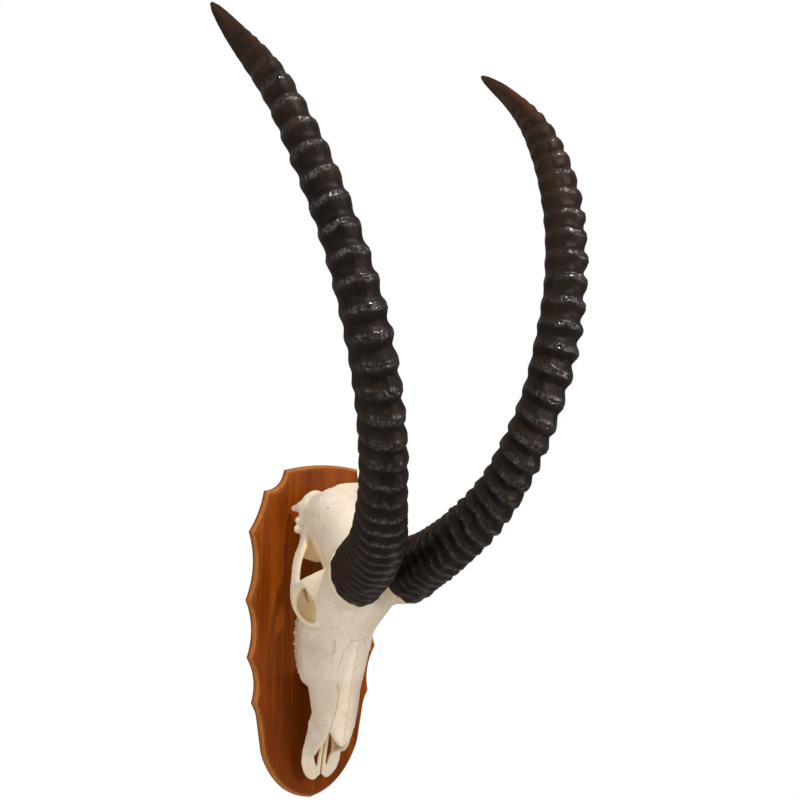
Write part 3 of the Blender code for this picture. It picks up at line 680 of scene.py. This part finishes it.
# Flat bars: a point on each edge, and the half thickness
TOOTH_RIDGE = [
    (30, -41, 181, 20, -41, 183, 4), (34, -40, 189, 22, -40, 190, 9),
    (37.5, -40, 203, 25, -40, 203, 11.5), (40, -40, 232, 27, -40, 232, 12.5),
    (40, -41, 262, 28, -41, 262, 12), (37, -44, 284, 27, -44, 284, 9),
]
ARCH = [
    (46, -46, 412, 48, -64, 412, 5), (47, -47, 398, 49, -66, 400, 5), (52, -50, 386, 53, -68, 388, 4.2),
    (58, -53, 377, 58, -71, 379, 3.2), (65.5, -56, 366, 64, -73, 367, 2.8),
    (69.5, -58, 352, 67.5, -74, 353, 2.6), (71, -59, 338, 69.5, -75, 339, 2.6),
    (72.5, -60, 324, 73, -77, 325, 2.6), (72.5, -61, 311, 76.5, -77, 312, 2.4),
    (70, -63, 298, 75.5, -78, 299, 2.2), (64, -67, 286, 71.5, -83, 287, 2.2),
    (57, -72, 276, 65, -89, 279, 2.3), (50, -78, 270, 57, -97, 274, 2.5),
    (44, -86, 268, 51, -105, 276, 3), (40, -96, 270, 45, -111, 281, 3.5),
]
SHELF = [
    (52, -56, 408, 30, -56, 408, 6), (54, -57, 388, 27, -57, 388, 5), (58, -58, 370, 26, -57, 372, 3.5),
    (60, -60, 364, 28, -58, 366, 2),
]
POSTORBITAL = [
    (44, -122, 358, 58, -115, 304, 7), (58, -110, 351, 68, -108, 318, 5.5),
    (66, -98, 343, 73, -98, 329.5, 4.5), (69, -86, 336, 73, -86, 328, 3.6),
    (70, -75, 334, 73, -76, 326, 3),
]
PREMAXILLA = [
    (29, -50, 131, 20, -90, 129, 2.6), (28.5, -44, 114, 22, -84, 113, 2.6),
    (27.5, -39, 100, 24, -73, 103, 2.6), (28, -35.5, 88, 26, -64, 89, 2.7),
    (30, -34.5, 78, 24, -53, 83, 2.8), (32.5, -34, 70, 18, -41, 74.5, 3),
    (33, -34, 64, 13.3, -35.5, 66, 3), (30.5, -33.5, 53, 12, -35, 59, 3),
    (25, -32, 43, 9.5, -35, 54, 3), (17, -31, 36.5, 6.5, -34.5, 49, 3),
    (8.5, -31.5, 34.5, 4.2, -34, 44, 2.8),
]
PALATE_EDGE = [
    (27, -40, 124, 3, -44, 122, 2.4), (27, -39, 110, 8, -42, 109, 2.3),
    (28, -36.5, 98, 13.5, -40, 98, 2.2), (29, -35, 84, 16, -39, 84, 2.2),
    (30, -34.5, 74, 15.5, -37, 74, 2.2),
]
PAROCCIPITAL = [
    (51, -52, 436, 42, -52, 440, 6), (52.5, -38, 436, 45, -38, 440, 5),
    (51.5, -20, 434, 47, -20, 437, 3),
]
MASTOID = [
    (44, -62, 450, 44, -50, 434, 6), (48, -46, 447, 48, -41, 434, 4.5),
    (52, -40, 443, 52, -37, 437, 2.8),
]
PTERYGOID = [
    (20, -44, 292, 18, -70, 292, 2.2), (17, -40, 314, 16, -72, 314, 2.2),
    (16, -46, 334, 16, -72, 334, 2.2),
]
# Round bars: place and radius
PALATE_ROD = [
    (4, -33.5, 42, 3), (4, -36, 60, 3.1), (3.8, -40.5, 82, 3), (3.8, -46, 102, 2.6), (4, -52, 128, 3),
]
EAR_TUBE = [(44, -48, 408, 7), (49, -43, 407, 5.5), (53, -39.5, 407, 4.6)]


def pedicle():
    """The bony stump under a horn sheath."""
    base = np.array(HORN_AXIS[0])
    lean = math.radians(HORN_FORM[0][3])
    forward = np.cross(RIM_NORMAL, (1, 0, 0))
    forward *= -np.sign(forward[1])
    deepways = forward * math.cos(lean) - np.array((1, 0, 0)) * math.sin(lean)
    rows = []
    for deep, across, drop in ((39.5, 37.5, -6), (38, 35, 6), (34.5, 29, 24), (31, 23, 48), (26, 17, 80)):
        centre = base - RIM_NORMAL * drop - np.array((drop * 0.09, 0, 0))
        rows.append((*(centre + deepways * deep), *(centre - deepways * deep), across))
    return blade(rows, 4, 2.0)


def nuchal(x, y, z):
    """The surface behind the nuchal crest, falling towards the wall and to the sides."""
    crest = np.interp(y, (-140, -106, -96, -80, -16), (482.6, 476.2, 473.0, 466.0, 446.0))
    return (crest - 3 * (np.abs(x) / 37) ** 6 - z) * 0.9


def sculpted():
    """The bone as one body of distances: masses, then hollows, then bars and edges."""
    bone = Field((0, -214, 30), (98, FRONT - 2, 494), BONE_GRAIN)
    for mass in (
        (slab(FACE), SHARP), (slab(BRAINCASE), 12), (slab(BROW), 9), (pedicle(), 8),
        (ball((42, -86, 308), (34, 34, 40)), 6), (blade(TOOTH_RIDGE), 9)):
        bone.add(*mass)
    bone.cut([((0, -140, 420), (80, -20, 500), nuchal)], 1.5)
    bone.cut(ball((24, -80, 480), (24, 22, 17)), 7)
    for mass in (
        (ball((26, -48, 449.5), (17, 14, 14.5), -12, "Y"), 4),
        (ball((40, -46, 430), (12.5, 11, 27)), 5), (ball((51, -41, 419.5), (5.5, 6, 6)), 2),
        (ball((36, -42, 406), (13, 13, 17)), 5), (ball((62, -106, 321), (11, 8, 12)), 5),
        (slab(CORE), 5)):
        bone.add(*mass)

    bone.cut(ball((64, -94, 303), (34, 17, 28), -14, "Z"), 1.6)
    bone.cut(blade([(75, -98, 327, 58, -72, 322, 1.1), (71, -98, 317, 54, -72, 313, 1.8),
                    (67, -98, 309, 50, -72, 305, 1.7), (62, -98, 303, 46, -74, 300, 1.0)]), 1)
    for mass in (
        (rod([(71, -110, 356, 13), (50, -75, 353, 13.5), (25, -35, 349, 13.5)]), 4),
        (rod([(52, -72, 393, 1.5), (53, -73, 384, 8.5), (54, -74, 373, 13), (54, -76, 358, 16)]), 3),
        (ball((0, -68, 108), (25, 22, 62), 3), 2), (ball((0, -24, 228), (26, 18, 60)), 4),
        (ball((0, -46, 322), (15, 22, 36)), 4), (ball((0, -56, 470), (12, 12, 26)), 2)):
        bone.cut(*mass)

    for mass in (
        (blade(SHELF), 5), (blade(ARCH), 3), (blade(POSTORBITAL), 4), (slab(NASAL), 2),
        (blade(PALATE_EDGE), 2), (blade(PREMAXILLA), 2.5), (rod(PALATE_ROD), 1.2),
        (blade(PAROCCIPITAL), 4), (blade(MASTOID), 3), (rod(EAR_TUBE), 3), (blade(PTERYGOID), 4),
        (ball((15, -30, 392), (9, 10, 20)), 3)):
        bone.add(*mass)

    bone.cut(rod([(59, -35, 407, 2.2), (46, -46, 408, 2.0)]), 1)
    bone.cut(plane((0, FRONT - GAP, 0), (0, 1, 0)))
    rim = np.array(HORN_AXIS[0]) * (0, 1, 1) - RIM_NORMAL * GAP
    bone.cut(plane(rim, RIM_NORMAL))
    return bone.surface()


# Lines on the bone: points, half width, depth and tone. All but the middle one have a twin. The tone
# darkens a line: the dark joint of a suture, and painted shade down the deep fissure whose depth is 2.2
LINES = [
    ([(0, -129, 252), (0, -121, 225), (0, -114, 199), (0, -105, 149), (0, -99, 122),
      (0, -94, 97)], 0.55, 0.7, 0.3),
    ([(1, -130, 253), (6, -129, 254), (14, -126, 248), (18, -121, 238), (22, -113, 216),
      (23, -110, 207)], 0.5, 0.6, 0.32),
    ([(21, -108, 190), (17, -106, 177), (18, -98, 143), (20, -91, 122)], 0.6, 0.8, 0.4),
    ([(30, -95, 189), (28, -92, 173), (27, -90, 160)], 0.5, 0.3, 0.12),
    ([(29, -46, 106), (27, -60, 115), (25, -75, 123), (24, -85, 127), (22, -88, 126),
      (20, -91, 121)], 0.5, 0.5, 0.28),
    ([(32, -116, 252), (30, -114, 242), (31, -111, 234)], 1.5, 2.2, 0.3),
    ([(32, -142, 291), (34, -135, 281), (35, -130, 273)], 2.4, 0.9, 0),
    ([(45, -92, 455), (49, -99, 431), (49, -99, 408), (48, -100, 385)], 1.8, 0.35, 0),
    ([(76, -60, 325), (76, -70, 327), (73, -79, 331)], 0.5, 0.5, 0.2),
    ([(3, -111, 480), (16, -109, 477), (29, -103, 471), (40, -95, 463), (49, -80, 452),
      (51, -62, 444)], 2.2, -1.3, 0),
]
# Small holes: place, radius, depth
PITS = [
    ((43, -110, 442), 1.2, 2), ((31, -110, 226), 1, 1.2), ((31, -108, 219), 0.9, 1.1),
    ((32, -142, 291), 1.2, 1.2),
]
# Darkening in the small holes: painted shade.
PIT_SHADE = 0.45
# Where the bone's hollows are beige and lighter than the bone, partly its own beige and partly painted
# light lifting their shade: centre and radii
LIT_BEIGE_HOLLOWS = [
    ((60, -90, 303), (30, 20, 28)), ((46, -72, 372), (18, 17, 22)), ((0, -68, 108), (24, 22, 62)),
    ((0, -24, 228), (30, 20, 66)), ((0, -46, 322), (17, 24, 38)), ((0, -44, 80), (8, 10, 30)),
]
MEANDER = 0.3  # how far a line strays
LINE_STEP = 2.2  # and the distance between its points


def arrays(mesh):
    """Points, normals and edges of a mesh as arrays."""
    found = []
    for source, key, width, kind in (
            (mesh.vertices, "co", 3, float), (mesh.vertex_normals, "vector", 3, float),
            (mesh.edges, "vertices", 2, np.int64)):
        values = np.empty(len(source) * width, dtype=kind)
        source.foreach_get(key, values)
        found.append(values.reshape(-1, width))
    return found


def relaxed(values, edges, rounds):
    """Points averaged with their neighbours a number of times."""
    count = np.maximum(np.bincount(edges.ravel(), minlength=len(values)), 1)
    for _ in range(rounds):
        values = np.stack([0.5 * column + 0.5 / count * (
            np.bincount(edges[:, 0], column[edges[:, 1]], len(column))
            + np.bincount(edges[:, 1], column[edges[:, 0]], len(column))) for column in values.T], 1)
    return values


def nearness(points, line, reach):
    """Distance of each point to a polyline, up to a reach."""
    found = np.full(len(points), reach * 4.0)
    for a, b in zip(line, line[1:]):
        low, high = np.minimum(a, b) - reach * 3, np.maximum(a, b) + reach * 3
        near = np.flatnonzero(((points > low) & (points < high)).all(1))
        span = b - a
        t = clamp(((points[near] - a) @ span) / max(span @ span, 1e-9))
        gap = np.linalg.norm(points[near] - (a + t[:, None] * span), axis=1)
        found[near] = np.minimum(found[near], gap)
    return found


def wander(line, seed):
    """A line with more points and a small meander, as a bone suture has."""
    rng = np.random.default_rng(seed)
    line = through([(*p, 0) for p in line], int(12 / LINE_STEP))[:, :3]
    parts = [line[:1]]
    for a, b in zip(line, line[1:]):
        count = max(1, int(np.linalg.norm(b - a) / LINE_STEP))
        parts.append(a + (b - a) * (np.arange(1, count + 1) / count)[:, None])
    path = np.concatenate(parts)
    return path + rng.normal(0, MEANDER, path.shape)


def laid_lines(mesh):
    """The lines and pits, laid on the bone's surface."""
    tree = BVHTree.FromPolygons([v.co for v in mesh.vertices], [p.vertices[:] for p in mesh.polygons])

    def laid(point):
        return tree.find_nearest(Vector(point))[0]
    lines = []
    for number, (line, width, depth, tone) in enumerate(LINES):
        for side in (1, -1) if number else (1,):
            path = wander([(x * side, y, z) for x, y, z in line], 50 + number * 2 + side)
            lines.append((np.array([laid(p) for p in path]), width, depth, tone))
    pits = [(np.array(laid((x * side, y, z))), radius, depth)
            for (x, y, z), radius, depth in PITS for side in (1, -1)]
    return lines, pits


def refine(mesh, lines):
    """Smaller faces along the lines."""
    for reach in (3.0, 1.6):
        points = arrays(mesh)[0]
        near = np.zeros(len(points), dtype=bool)
        for line, *_ in lines:
            near |= nearness(points, line, reach) < reach
        bm = bmesh.new()
        bm.from_mesh(mesh)
        chosen = [e for e in bm.edges if near[e.verts[0].index] and near[e.verts[1].index]]
        bmesh.ops.subdivide_edges(bm, edges=chosen, cuts=1, use_grid_fill=True)
        bm.to_mesh(mesh)
        bm.free()


def skull(mat):
    points, faces = sculpted()
    mesh = bpy.data.meshes.new("bone")
    mesh.from_pydata(points.tolist(), [], faces.tolist())
    mesh.validate()
    points, normals, edges = arrays(mesh)
    mesh.vertices.foreach_set("co", relaxed(points, edges, 2).ravel())
    mesh.update()
    lines, pits = laid_lines(mesh)
    refine(mesh, [entry for entry in lines if entry[1] < 1])
    points, normals, edges = arrays(mesh)
    seams_and_shade, push, tint_mask = np.zeros((3, len(points)))
    # Darker along the lines (a suture's dark joint, painted shade in the deep fissure) and painted shade in
    # the small holes.
    for line, width, depth, tone in lines:
        gap = nearness(points, line, width * 3)
        push -= depth * np.exp(-(gap / width) ** 2)
        seams_and_shade = np.maximum(seams_and_shade, tone * np.exp(-(gap / (width * 1.2)) ** 2))
    for centre, radius, depth in pits:
        dent = np.exp(-(np.linalg.norm(points - centre, axis=1) / radius) ** 2)
        push -= depth * dent
        seams_and_shade = np.maximum(seams_and_shade, PIT_SHADE * dent)
    # Hollows and concave places turn a lighter beige: partly the bone's colour, partly painted light
    # lifting their shade.
    for centre, radii in LIT_BEIGE_HOLLOWS:
        local = (np.abs(points) * (1, 0, 0) + points * (0, 1, 1) - centre) / radii
        tint_mask = np.maximum(tint_mask, clamp((1.16 - np.linalg.norm(local, axis=1)) / 0.2))
    sunk = ((relaxed(points, edges, 40) - points) * normals).sum(1)
    tint_mask = np.maximum(tint_mask * 0.7, np.clip(sunk * 0.3, 0, 0.7))
    points = points + normals * push[:, None]
    mesh.vertices.foreach_set("co", points.ravel())
    paint(mesh, {"tint_mask": tint_mask, "seams_and_shade": seams_and_shade})
    mesh.transform(Matrix.Scale(MM, 4) @ Matrix.Translation((0, 0, -CENTRE)))
    mesh.materials.append(mat)
    obj = linked("skull_bone", mesh)
    triangles = sum(len(p.vertices) - 2 for p in mesh.polygons)
    thin = obj.modifiers.new("Thin", "DECIMATE")
    thin.ratio = min(1.0, BONE_FACES / triangles)
    final = baked(obj)
    obj.modifiers.clear()
    obj.data = final
    bpy.data.meshes.remove(mesh)
    final.shade_smooth()
    final.set_sharp_from_angle(angle=math.radians(70))
    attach(obj, "root")
    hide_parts("skull")


# Teeth
TOOTH_LENGTHS = (11.5, 12.5, 13.0, 16.0, 17.0, 15.5)
TOOTH_ROW_FOOT = 190.0
TOOTH_OUTER = [(188, 32.5), (203, 36.8), (220, 40), (235, 41.6), (252, 41.8), (264, 40.6), (278, 36.6)]
# depth and size of the levels down a tooth, then size and dip of the rings on its crown
TOOTH_LEVELS = [(-40, 0.80), (-34, 0.88), (-30, 0.94), (-27, 0.99), (-23, 1.0), (-19, 1.0),
                (-16.4, 0.985), (-15.2, 0.96)]
CROWN_RINGS = [(0.93, -0.25), (0.86, 0.1), (0.72, 1.2), (0.5, 1.8), (0.3, 1.4)]


def teeth(mat):
    """Six cheek teeth on each side, with upright ribs on the outside and a worn, folded crown."""
    foot = TOOTH_ROW_FOOT
    t = np.linspace(0, 2 * math.pi, 96, endpoint=False)
    round_z = np.sign(np.sin(t)) * np.abs(np.sin(t)) ** 0.55
    round_x = np.sign(np.cos(t)) * np.abs(np.cos(t)) ** 0.62
    outside, inside = clamp(np.cos(t) * 1.6), clamp(-np.cos(t) * 1.6)
    for number, length in enumerate(TOOTH_LENGTHS, 1):
        half = (length - GAP) / 2
        centre = foot + half
        girth, ribs, lobes = (5.6, 2, 1) if number < 4 else (7.0, 3, 2)
        rib = np.cos(math.pi * (ribs - 1) * (round_z + 1)) * 0.5 + 0.5
        lobe = np.abs(np.sin(math.pi * lobes * (round_z + 1) / 2))
        folds = outside * (1 - rib) * 0.45, inside * (1 - lobe) * 0.4
        rows, tones = [], []
        for depth, size in TOOTH_LEVELS:
            z = centre + half * round_z * (0.93 + 0.07 * size)
            x = girth * size * round_x + outside * (2.3 * rib**2 - 1.6) + inside * 1.3 * (1 - lobe)
            x = value_at(TOOTH_OUTER, z) - girth - 0.4 + x
            rows.append(np.stack((x, np.full_like(t, depth), z), 1))
            # Darker towards the root end, between the outer ribs and in the inner folds.
            tones.append(clamp((-29 - depth) / 5) * 0.6 + folds[0] + folds[1])
        last = rows[-1]
        middle = last.mean(0)
        cusp = np.maximum(outside * rib**2, inside * lobe)
        for shrink, dip in CROWN_RINGS:
            ring = middle + (last - middle) * (shrink, 1, 0.3 + 0.7 * shrink)
            ring[:, 1] = FRONT - GAP - (1.7 * (1 - cusp) if shrink > 0.8 else 1.2) - max(dip, 0)
            rows.append(ring)
            # Darker down the crown's dips.
            tones.append(np.full_like(t, 0.1 + max(dip, 0) * 0.35))
        tones = np.concatenate((np.array(tones).ravel(), [0.5, 0.9]))
        points, faces = tube(np.array(rows))
        for side, word in ((-1, "left"), (1, "right")):
            piece(f"cheek_tooth_{word}_{number}", points * (side, 1, 1), facing(faces, side), mat,
                  f"tooth_{word}_{number}", {"tint_mask": clamp(tones)}, 60)
        foot += length


# Plaque
PLAQUE_FOOT = [(0, 0), (20, 5), (40, 15), (60, 33), (74, 53), (83, 73), (87, 94), (90.5, 115),
               (95, 137), (102, 151)]
# the cusps and the top corner of the right half, then of the left one
PLAQUE_HALVES = [
    ([(114, 218), (117, 302), (114, 402), (100, 463)], (74.5, 493.6)),
    ([(111, 218), (115, 302), (112, 402), (88, 462)], (54.5, 492.4)),
]
CUSP_DIPS = (-7.5, -8.5, -9.5, -3.5)
CORNER_DIP = -9
TOP_RISE = 7.0
# the moulded edge from back to front: distance in from the outline, and depth
PLAQUE_EDGE = [
    (0.9, 0), (0.25, -0.25), (0, -0.9), (0, -4.2), (0.2, -5), (0.7, -6.5), (1.4, -7.9), (2.3, -9.1),
    (3.3, -10), (4.3, -10.5), (5, -10.6), (5.3, -10.8), (5.45, -11.5), (5.6, -12.9), (5.9, -13.6),
    (6.6, -14), (9, -14),
]
# the room for the hanger plate and its keyhole, as opposite corners, and for its screws
HANGER = ((-23 - GAP, -1.8 - GAP, 440 - GAP), (23 + GAP, 1, 456 + GAP))
KEYHOLE = ((-7, -7, 441), (7, 0, 455))
HANGER_SCREWS = (-17, 17)
HANGER_SCREW_HEIGHT = 448
# half width, foot and top of the plain wood behind the skull
BEHIND_SKULL = (30, 180, 460)


def arc(start, end, bulge, steps):
    """Points on a parabola between two corners, bulging to the right by this much."""
    start, end = Vector(start), Vector(end)
    chord = end - start
    side = Vector((chord.y, -chord.x)).normalized()
    parts = [i / steps for i in range(steps + 1)]
    return [start + chord * t + side * (bulge * 4 * t * (1 - t)) for t in parts]


def plaque_outline(steps):
    """The outline as runs between its corners, anticlockwise from the foot; its top sits a little
    to the right."""
    halves = []
    for cusps, corner in PLAQUE_HALVES:
        runs = [[Vector((x, z)) for x, z, _ in through([(*p, 0) for p in PLAQUE_FOOT], 4)]]
        here = PLAQUE_FOOT[-1]
        for cusp, dip in zip(cusps, CUSP_DIPS):
            runs.append(arc(here, cusp, dip, steps))
            here = cusp
        halves.append(runs + [arc(here, corner, CORNER_DIP, steps)])
    right, left = halves[0], [[Vector((-p.x, p.y)) for p in reversed(run)] for run in reversed(halves[1])]
    return right + [arc(right[-1][-1], left[0][0], TOP_RISE, 2 * steps)] + left


def inset(runs, amount):
    """The outline moved inwards, its runs cut off where they meet."""
    moved, sides = [], []
    for run in runs:
        last = len(run) - 1
        tangents = [(run[min(i + 1, last)] - run[max(i - 1, 0)]).normalized() for i in range(last + 1)]
        sides.append([Vector((-t.y, t.x)) for t in tangents])
    for number, (run, normals) in enumerate(zip(runs, sides)):
        last = sides[number - 1][-1]
        following = sides[(number + 1) % len(runs)][0]
        mitres = []
        for corner, one, two in ((run[0], last, normals[0]), (run[-1], normals[-1], following)):
            middle = (one + two).normalized()
            mitres.append((corner, middle, corner + middle * (amount / middle.dot(two))))
        for i, (p, n) in enumerate(zip(run[:-1], normals)):
            place = p + n * amount
            for (corner, middle, mitre), forward in zip(mitres, (1, -1)):
                across = Vector((middle.y, -middle.x)) * forward
                if i == 0 and forward == 1 or across.dot(place - corner) < 0:
                    place = mitre
            moved.append(place)
    return moved


def peg(bm, x, z, near, far, radius):
    turns = [2 * math.pi * i / PEG_SIDES for i in range(PEG_SIDES)]
    skin(bm, [[(x + radius * math.cos(t), y, z + radius * math.sin(t)) for t in turns]
              for y in (near, far)])


def block(bm, low, high):
    low, high = Vector(low), Vector(high)
    bmesh.ops.create_cube(bm, size=1.0, matrix=Matrix.Translation((high + low) / 2)
                          @ Matrix.Diagonal((*(high - low), 1.0)))


def plaque(mat):
    outline = plaque_outline(24)
    bm = bmesh.new()
    skin(bm, [[(p.x, y, p.y) for p in inset(outline, shift)] for shift, y in PLAQUE_EDGE])
    bmesh.ops.remove_doubles(bm, verts=bm.verts, dist=0.01)
    whole = draft(bm, "wood_whole")
    room = bmesh.new()
    block(room, *HANGER)
    block(room, *KEYHOLE)
    for x in HANGER_SCREWS:
        peg(room, x, HANGER_SCREW_HEIGHT, -10, -1, 1.5 + GAP)
    for height in SKULL_SCREWS:
        peg(room, 0, height, FRONT - 1, -4, SCREW_RADIUS + GAP)
        peg(room, 0, height, -4.5 - GAP, 1, SCREW_HEAD + GAP)
    tool = draft(room, "wood_room")
    cut = whole.modifiers.new("Room", "BOOLEAN")
    cut.object = tool
    cut.use_self = True
    mesh = baked(whole)
    for spare in (whole, tool):
        bpy.data.meshes.remove(spare.data)  # its object goes with it
    points = arrays(mesh)[0]
    depth = -points[:, 1]
    # Golden tone on the moulded bead, partly painted highlight; the plain wood behind the skull gets some
    # of it too.
    gold_and_highlight = clamp(13.2 - depth) * clamp((depth - 3.0) / 2.5)
    # Darker on the side wall, painted shade with some dark stain, and in the groove before the face,
    # painted shade.
    wall_shade = clamp((4.6 - depth) / 1.2) * clamp(depth / 0.3)
    groove_and_wall_shade = clamp(1 - np.abs(depth - 11.0) / 0.8) * 0.9
    half, low, high = BEHIND_SKULL
    inner = (np.abs(points[:, 0]) < half) & (points[:, 2] > low) & (points[:, 2] < high)
    gold_and_highlight[inner] = 0.35
    wall_shade[inner] = groove_and_wall_shade[inner] = 0
    piece("plaque_board", points, [p.vertices[:] for p in mesh.polygons], mat, "plaque",
          {"gold_and_highlight": gold_and_highlight, "groove_and_wall_shade": np.maximum(groove_and_wall_shade, wall_shade * 0.55)}, 38)
    bpy.data.meshes.remove(mesh)


# The room
SENSOR = 36.0
LENS = 54.0
CAMERA_AT = (-0.97, -1.562, 0.287)
CAMERA_TURN = (35.843, 2.026, 1.039)  # yaw, pitch and roll in degrees
FLOOR_HALF = 1.3
FLOOR_LEVEL = -0.8
AMBIENT = 0.27  # the room's light on the object, against the white that the camera sees
# lamps: place, aim, size and power
LAMPS = {
    "key": ((0.1, -1.7, 2.6), (0, -0.2, 0.3), 0.18, 54),
    "side": ((1.0, -2.4, 0.7), (0, -0.1, 0.25), 1.2, 28),
    "fill": ((-2.6, -0.7, 0.7), (0, -0.1, 0.25), 3.0, 31),
    "back": ((0.6, 2.2, 1.4), (0, 0, 0.3), 1.6, 3),
}


def lamp(name, at, to, size, power):
    data = bpy.data.lights.new(name, "AREA")
    data.shape = "DISK"
    data.size = size
    data.energy = power
    obj = linked(name, data)
    obj.location = at
    obj.rotation_euler = (Vector(to) - Vector(at)).to_track_quat("-Z", "Y").to_euler()


def staging():
    data = bpy.data.cameras.new("photo_camera")
    data.sensor_width = SENSOR
    data.lens = LENS
    camera = linked("photo_camera", data)
    yaw, pitch, roll = (math.radians(a) for a in CAMERA_TURN)
    camera.matrix_world = Matrix.Translation(CAMERA_AT) @ Matrix.Rotation(-yaw, 4, "Z") \
        @ Matrix.Rotation(math.pi / 2 + pitch, 4, "X") @ Matrix.Rotation(roll, 4, "Z")
    bpy.context.scene.camera = camera

    bm = bmesh.new()
    bmesh.ops.create_grid(bm, x_segments=2, y_segments=2, size=FLOOR_HALF,
                          matrix=Matrix.Translation((0, 0, FLOOR_LEVEL)))
    floor = draft(bm, "floor")
    look = Look("floor_paint", Roughness=0.9, Specular_IOR_Level=0.1, Emission_Strength=0.1,
                Emission_Color=(1, 1, 1, 1))
    colour = look.mix(look.noise(look.place(), 3), (0.7, 0.7, 0.7, 1), (0.66, 0.66, 0.66, 1))
    floor.data.materials.append(look.finish(Base_Color=colour))

    world = bpy.data.worlds.new("studio")
    world.use_nodes = True
    bpy.context.scene.world = world
    tree = world.node_tree
    seen = tree.nodes.new("ShaderNodeLightPath").outputs["Is Camera Ray"]
    back = tree.nodes["Background"]
    level = tree.nodes.new("ShaderNodeMapRange")
    tree.links.new(seen, level.inputs[0])
    level.inputs[3].default_value = AMBIENT
    back.inputs["Color"].default_value = (1, 1, 1, 1)
    tree.links.new(level.outputs[0], back.inputs["Strength"])
    for name, form in LAMPS.items():
        lamp(name, *form)
    bpy.context.scene.view_settings.view_transform = "Standard"


bone, enamel, keratin, wood, steel = bone_look(), tooth_look(), horn_look(), wood_look(), steel_look()
staging()
horn("horn_sheath_left", "horn_left", -1, keratin)
horn("horn_sheath_right", "horn_right", 1, keratin)
plaque(wood)
teeth(enamel)
skull(bone)
for name in ("hanger_plate", "hanger_screw_left", "hanger_screw_right", "skull_screw_lower",
             "skull_screw_upper"):
    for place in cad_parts[name].material_slots:
        place.material = steel

bpy.context.view_layer.update()
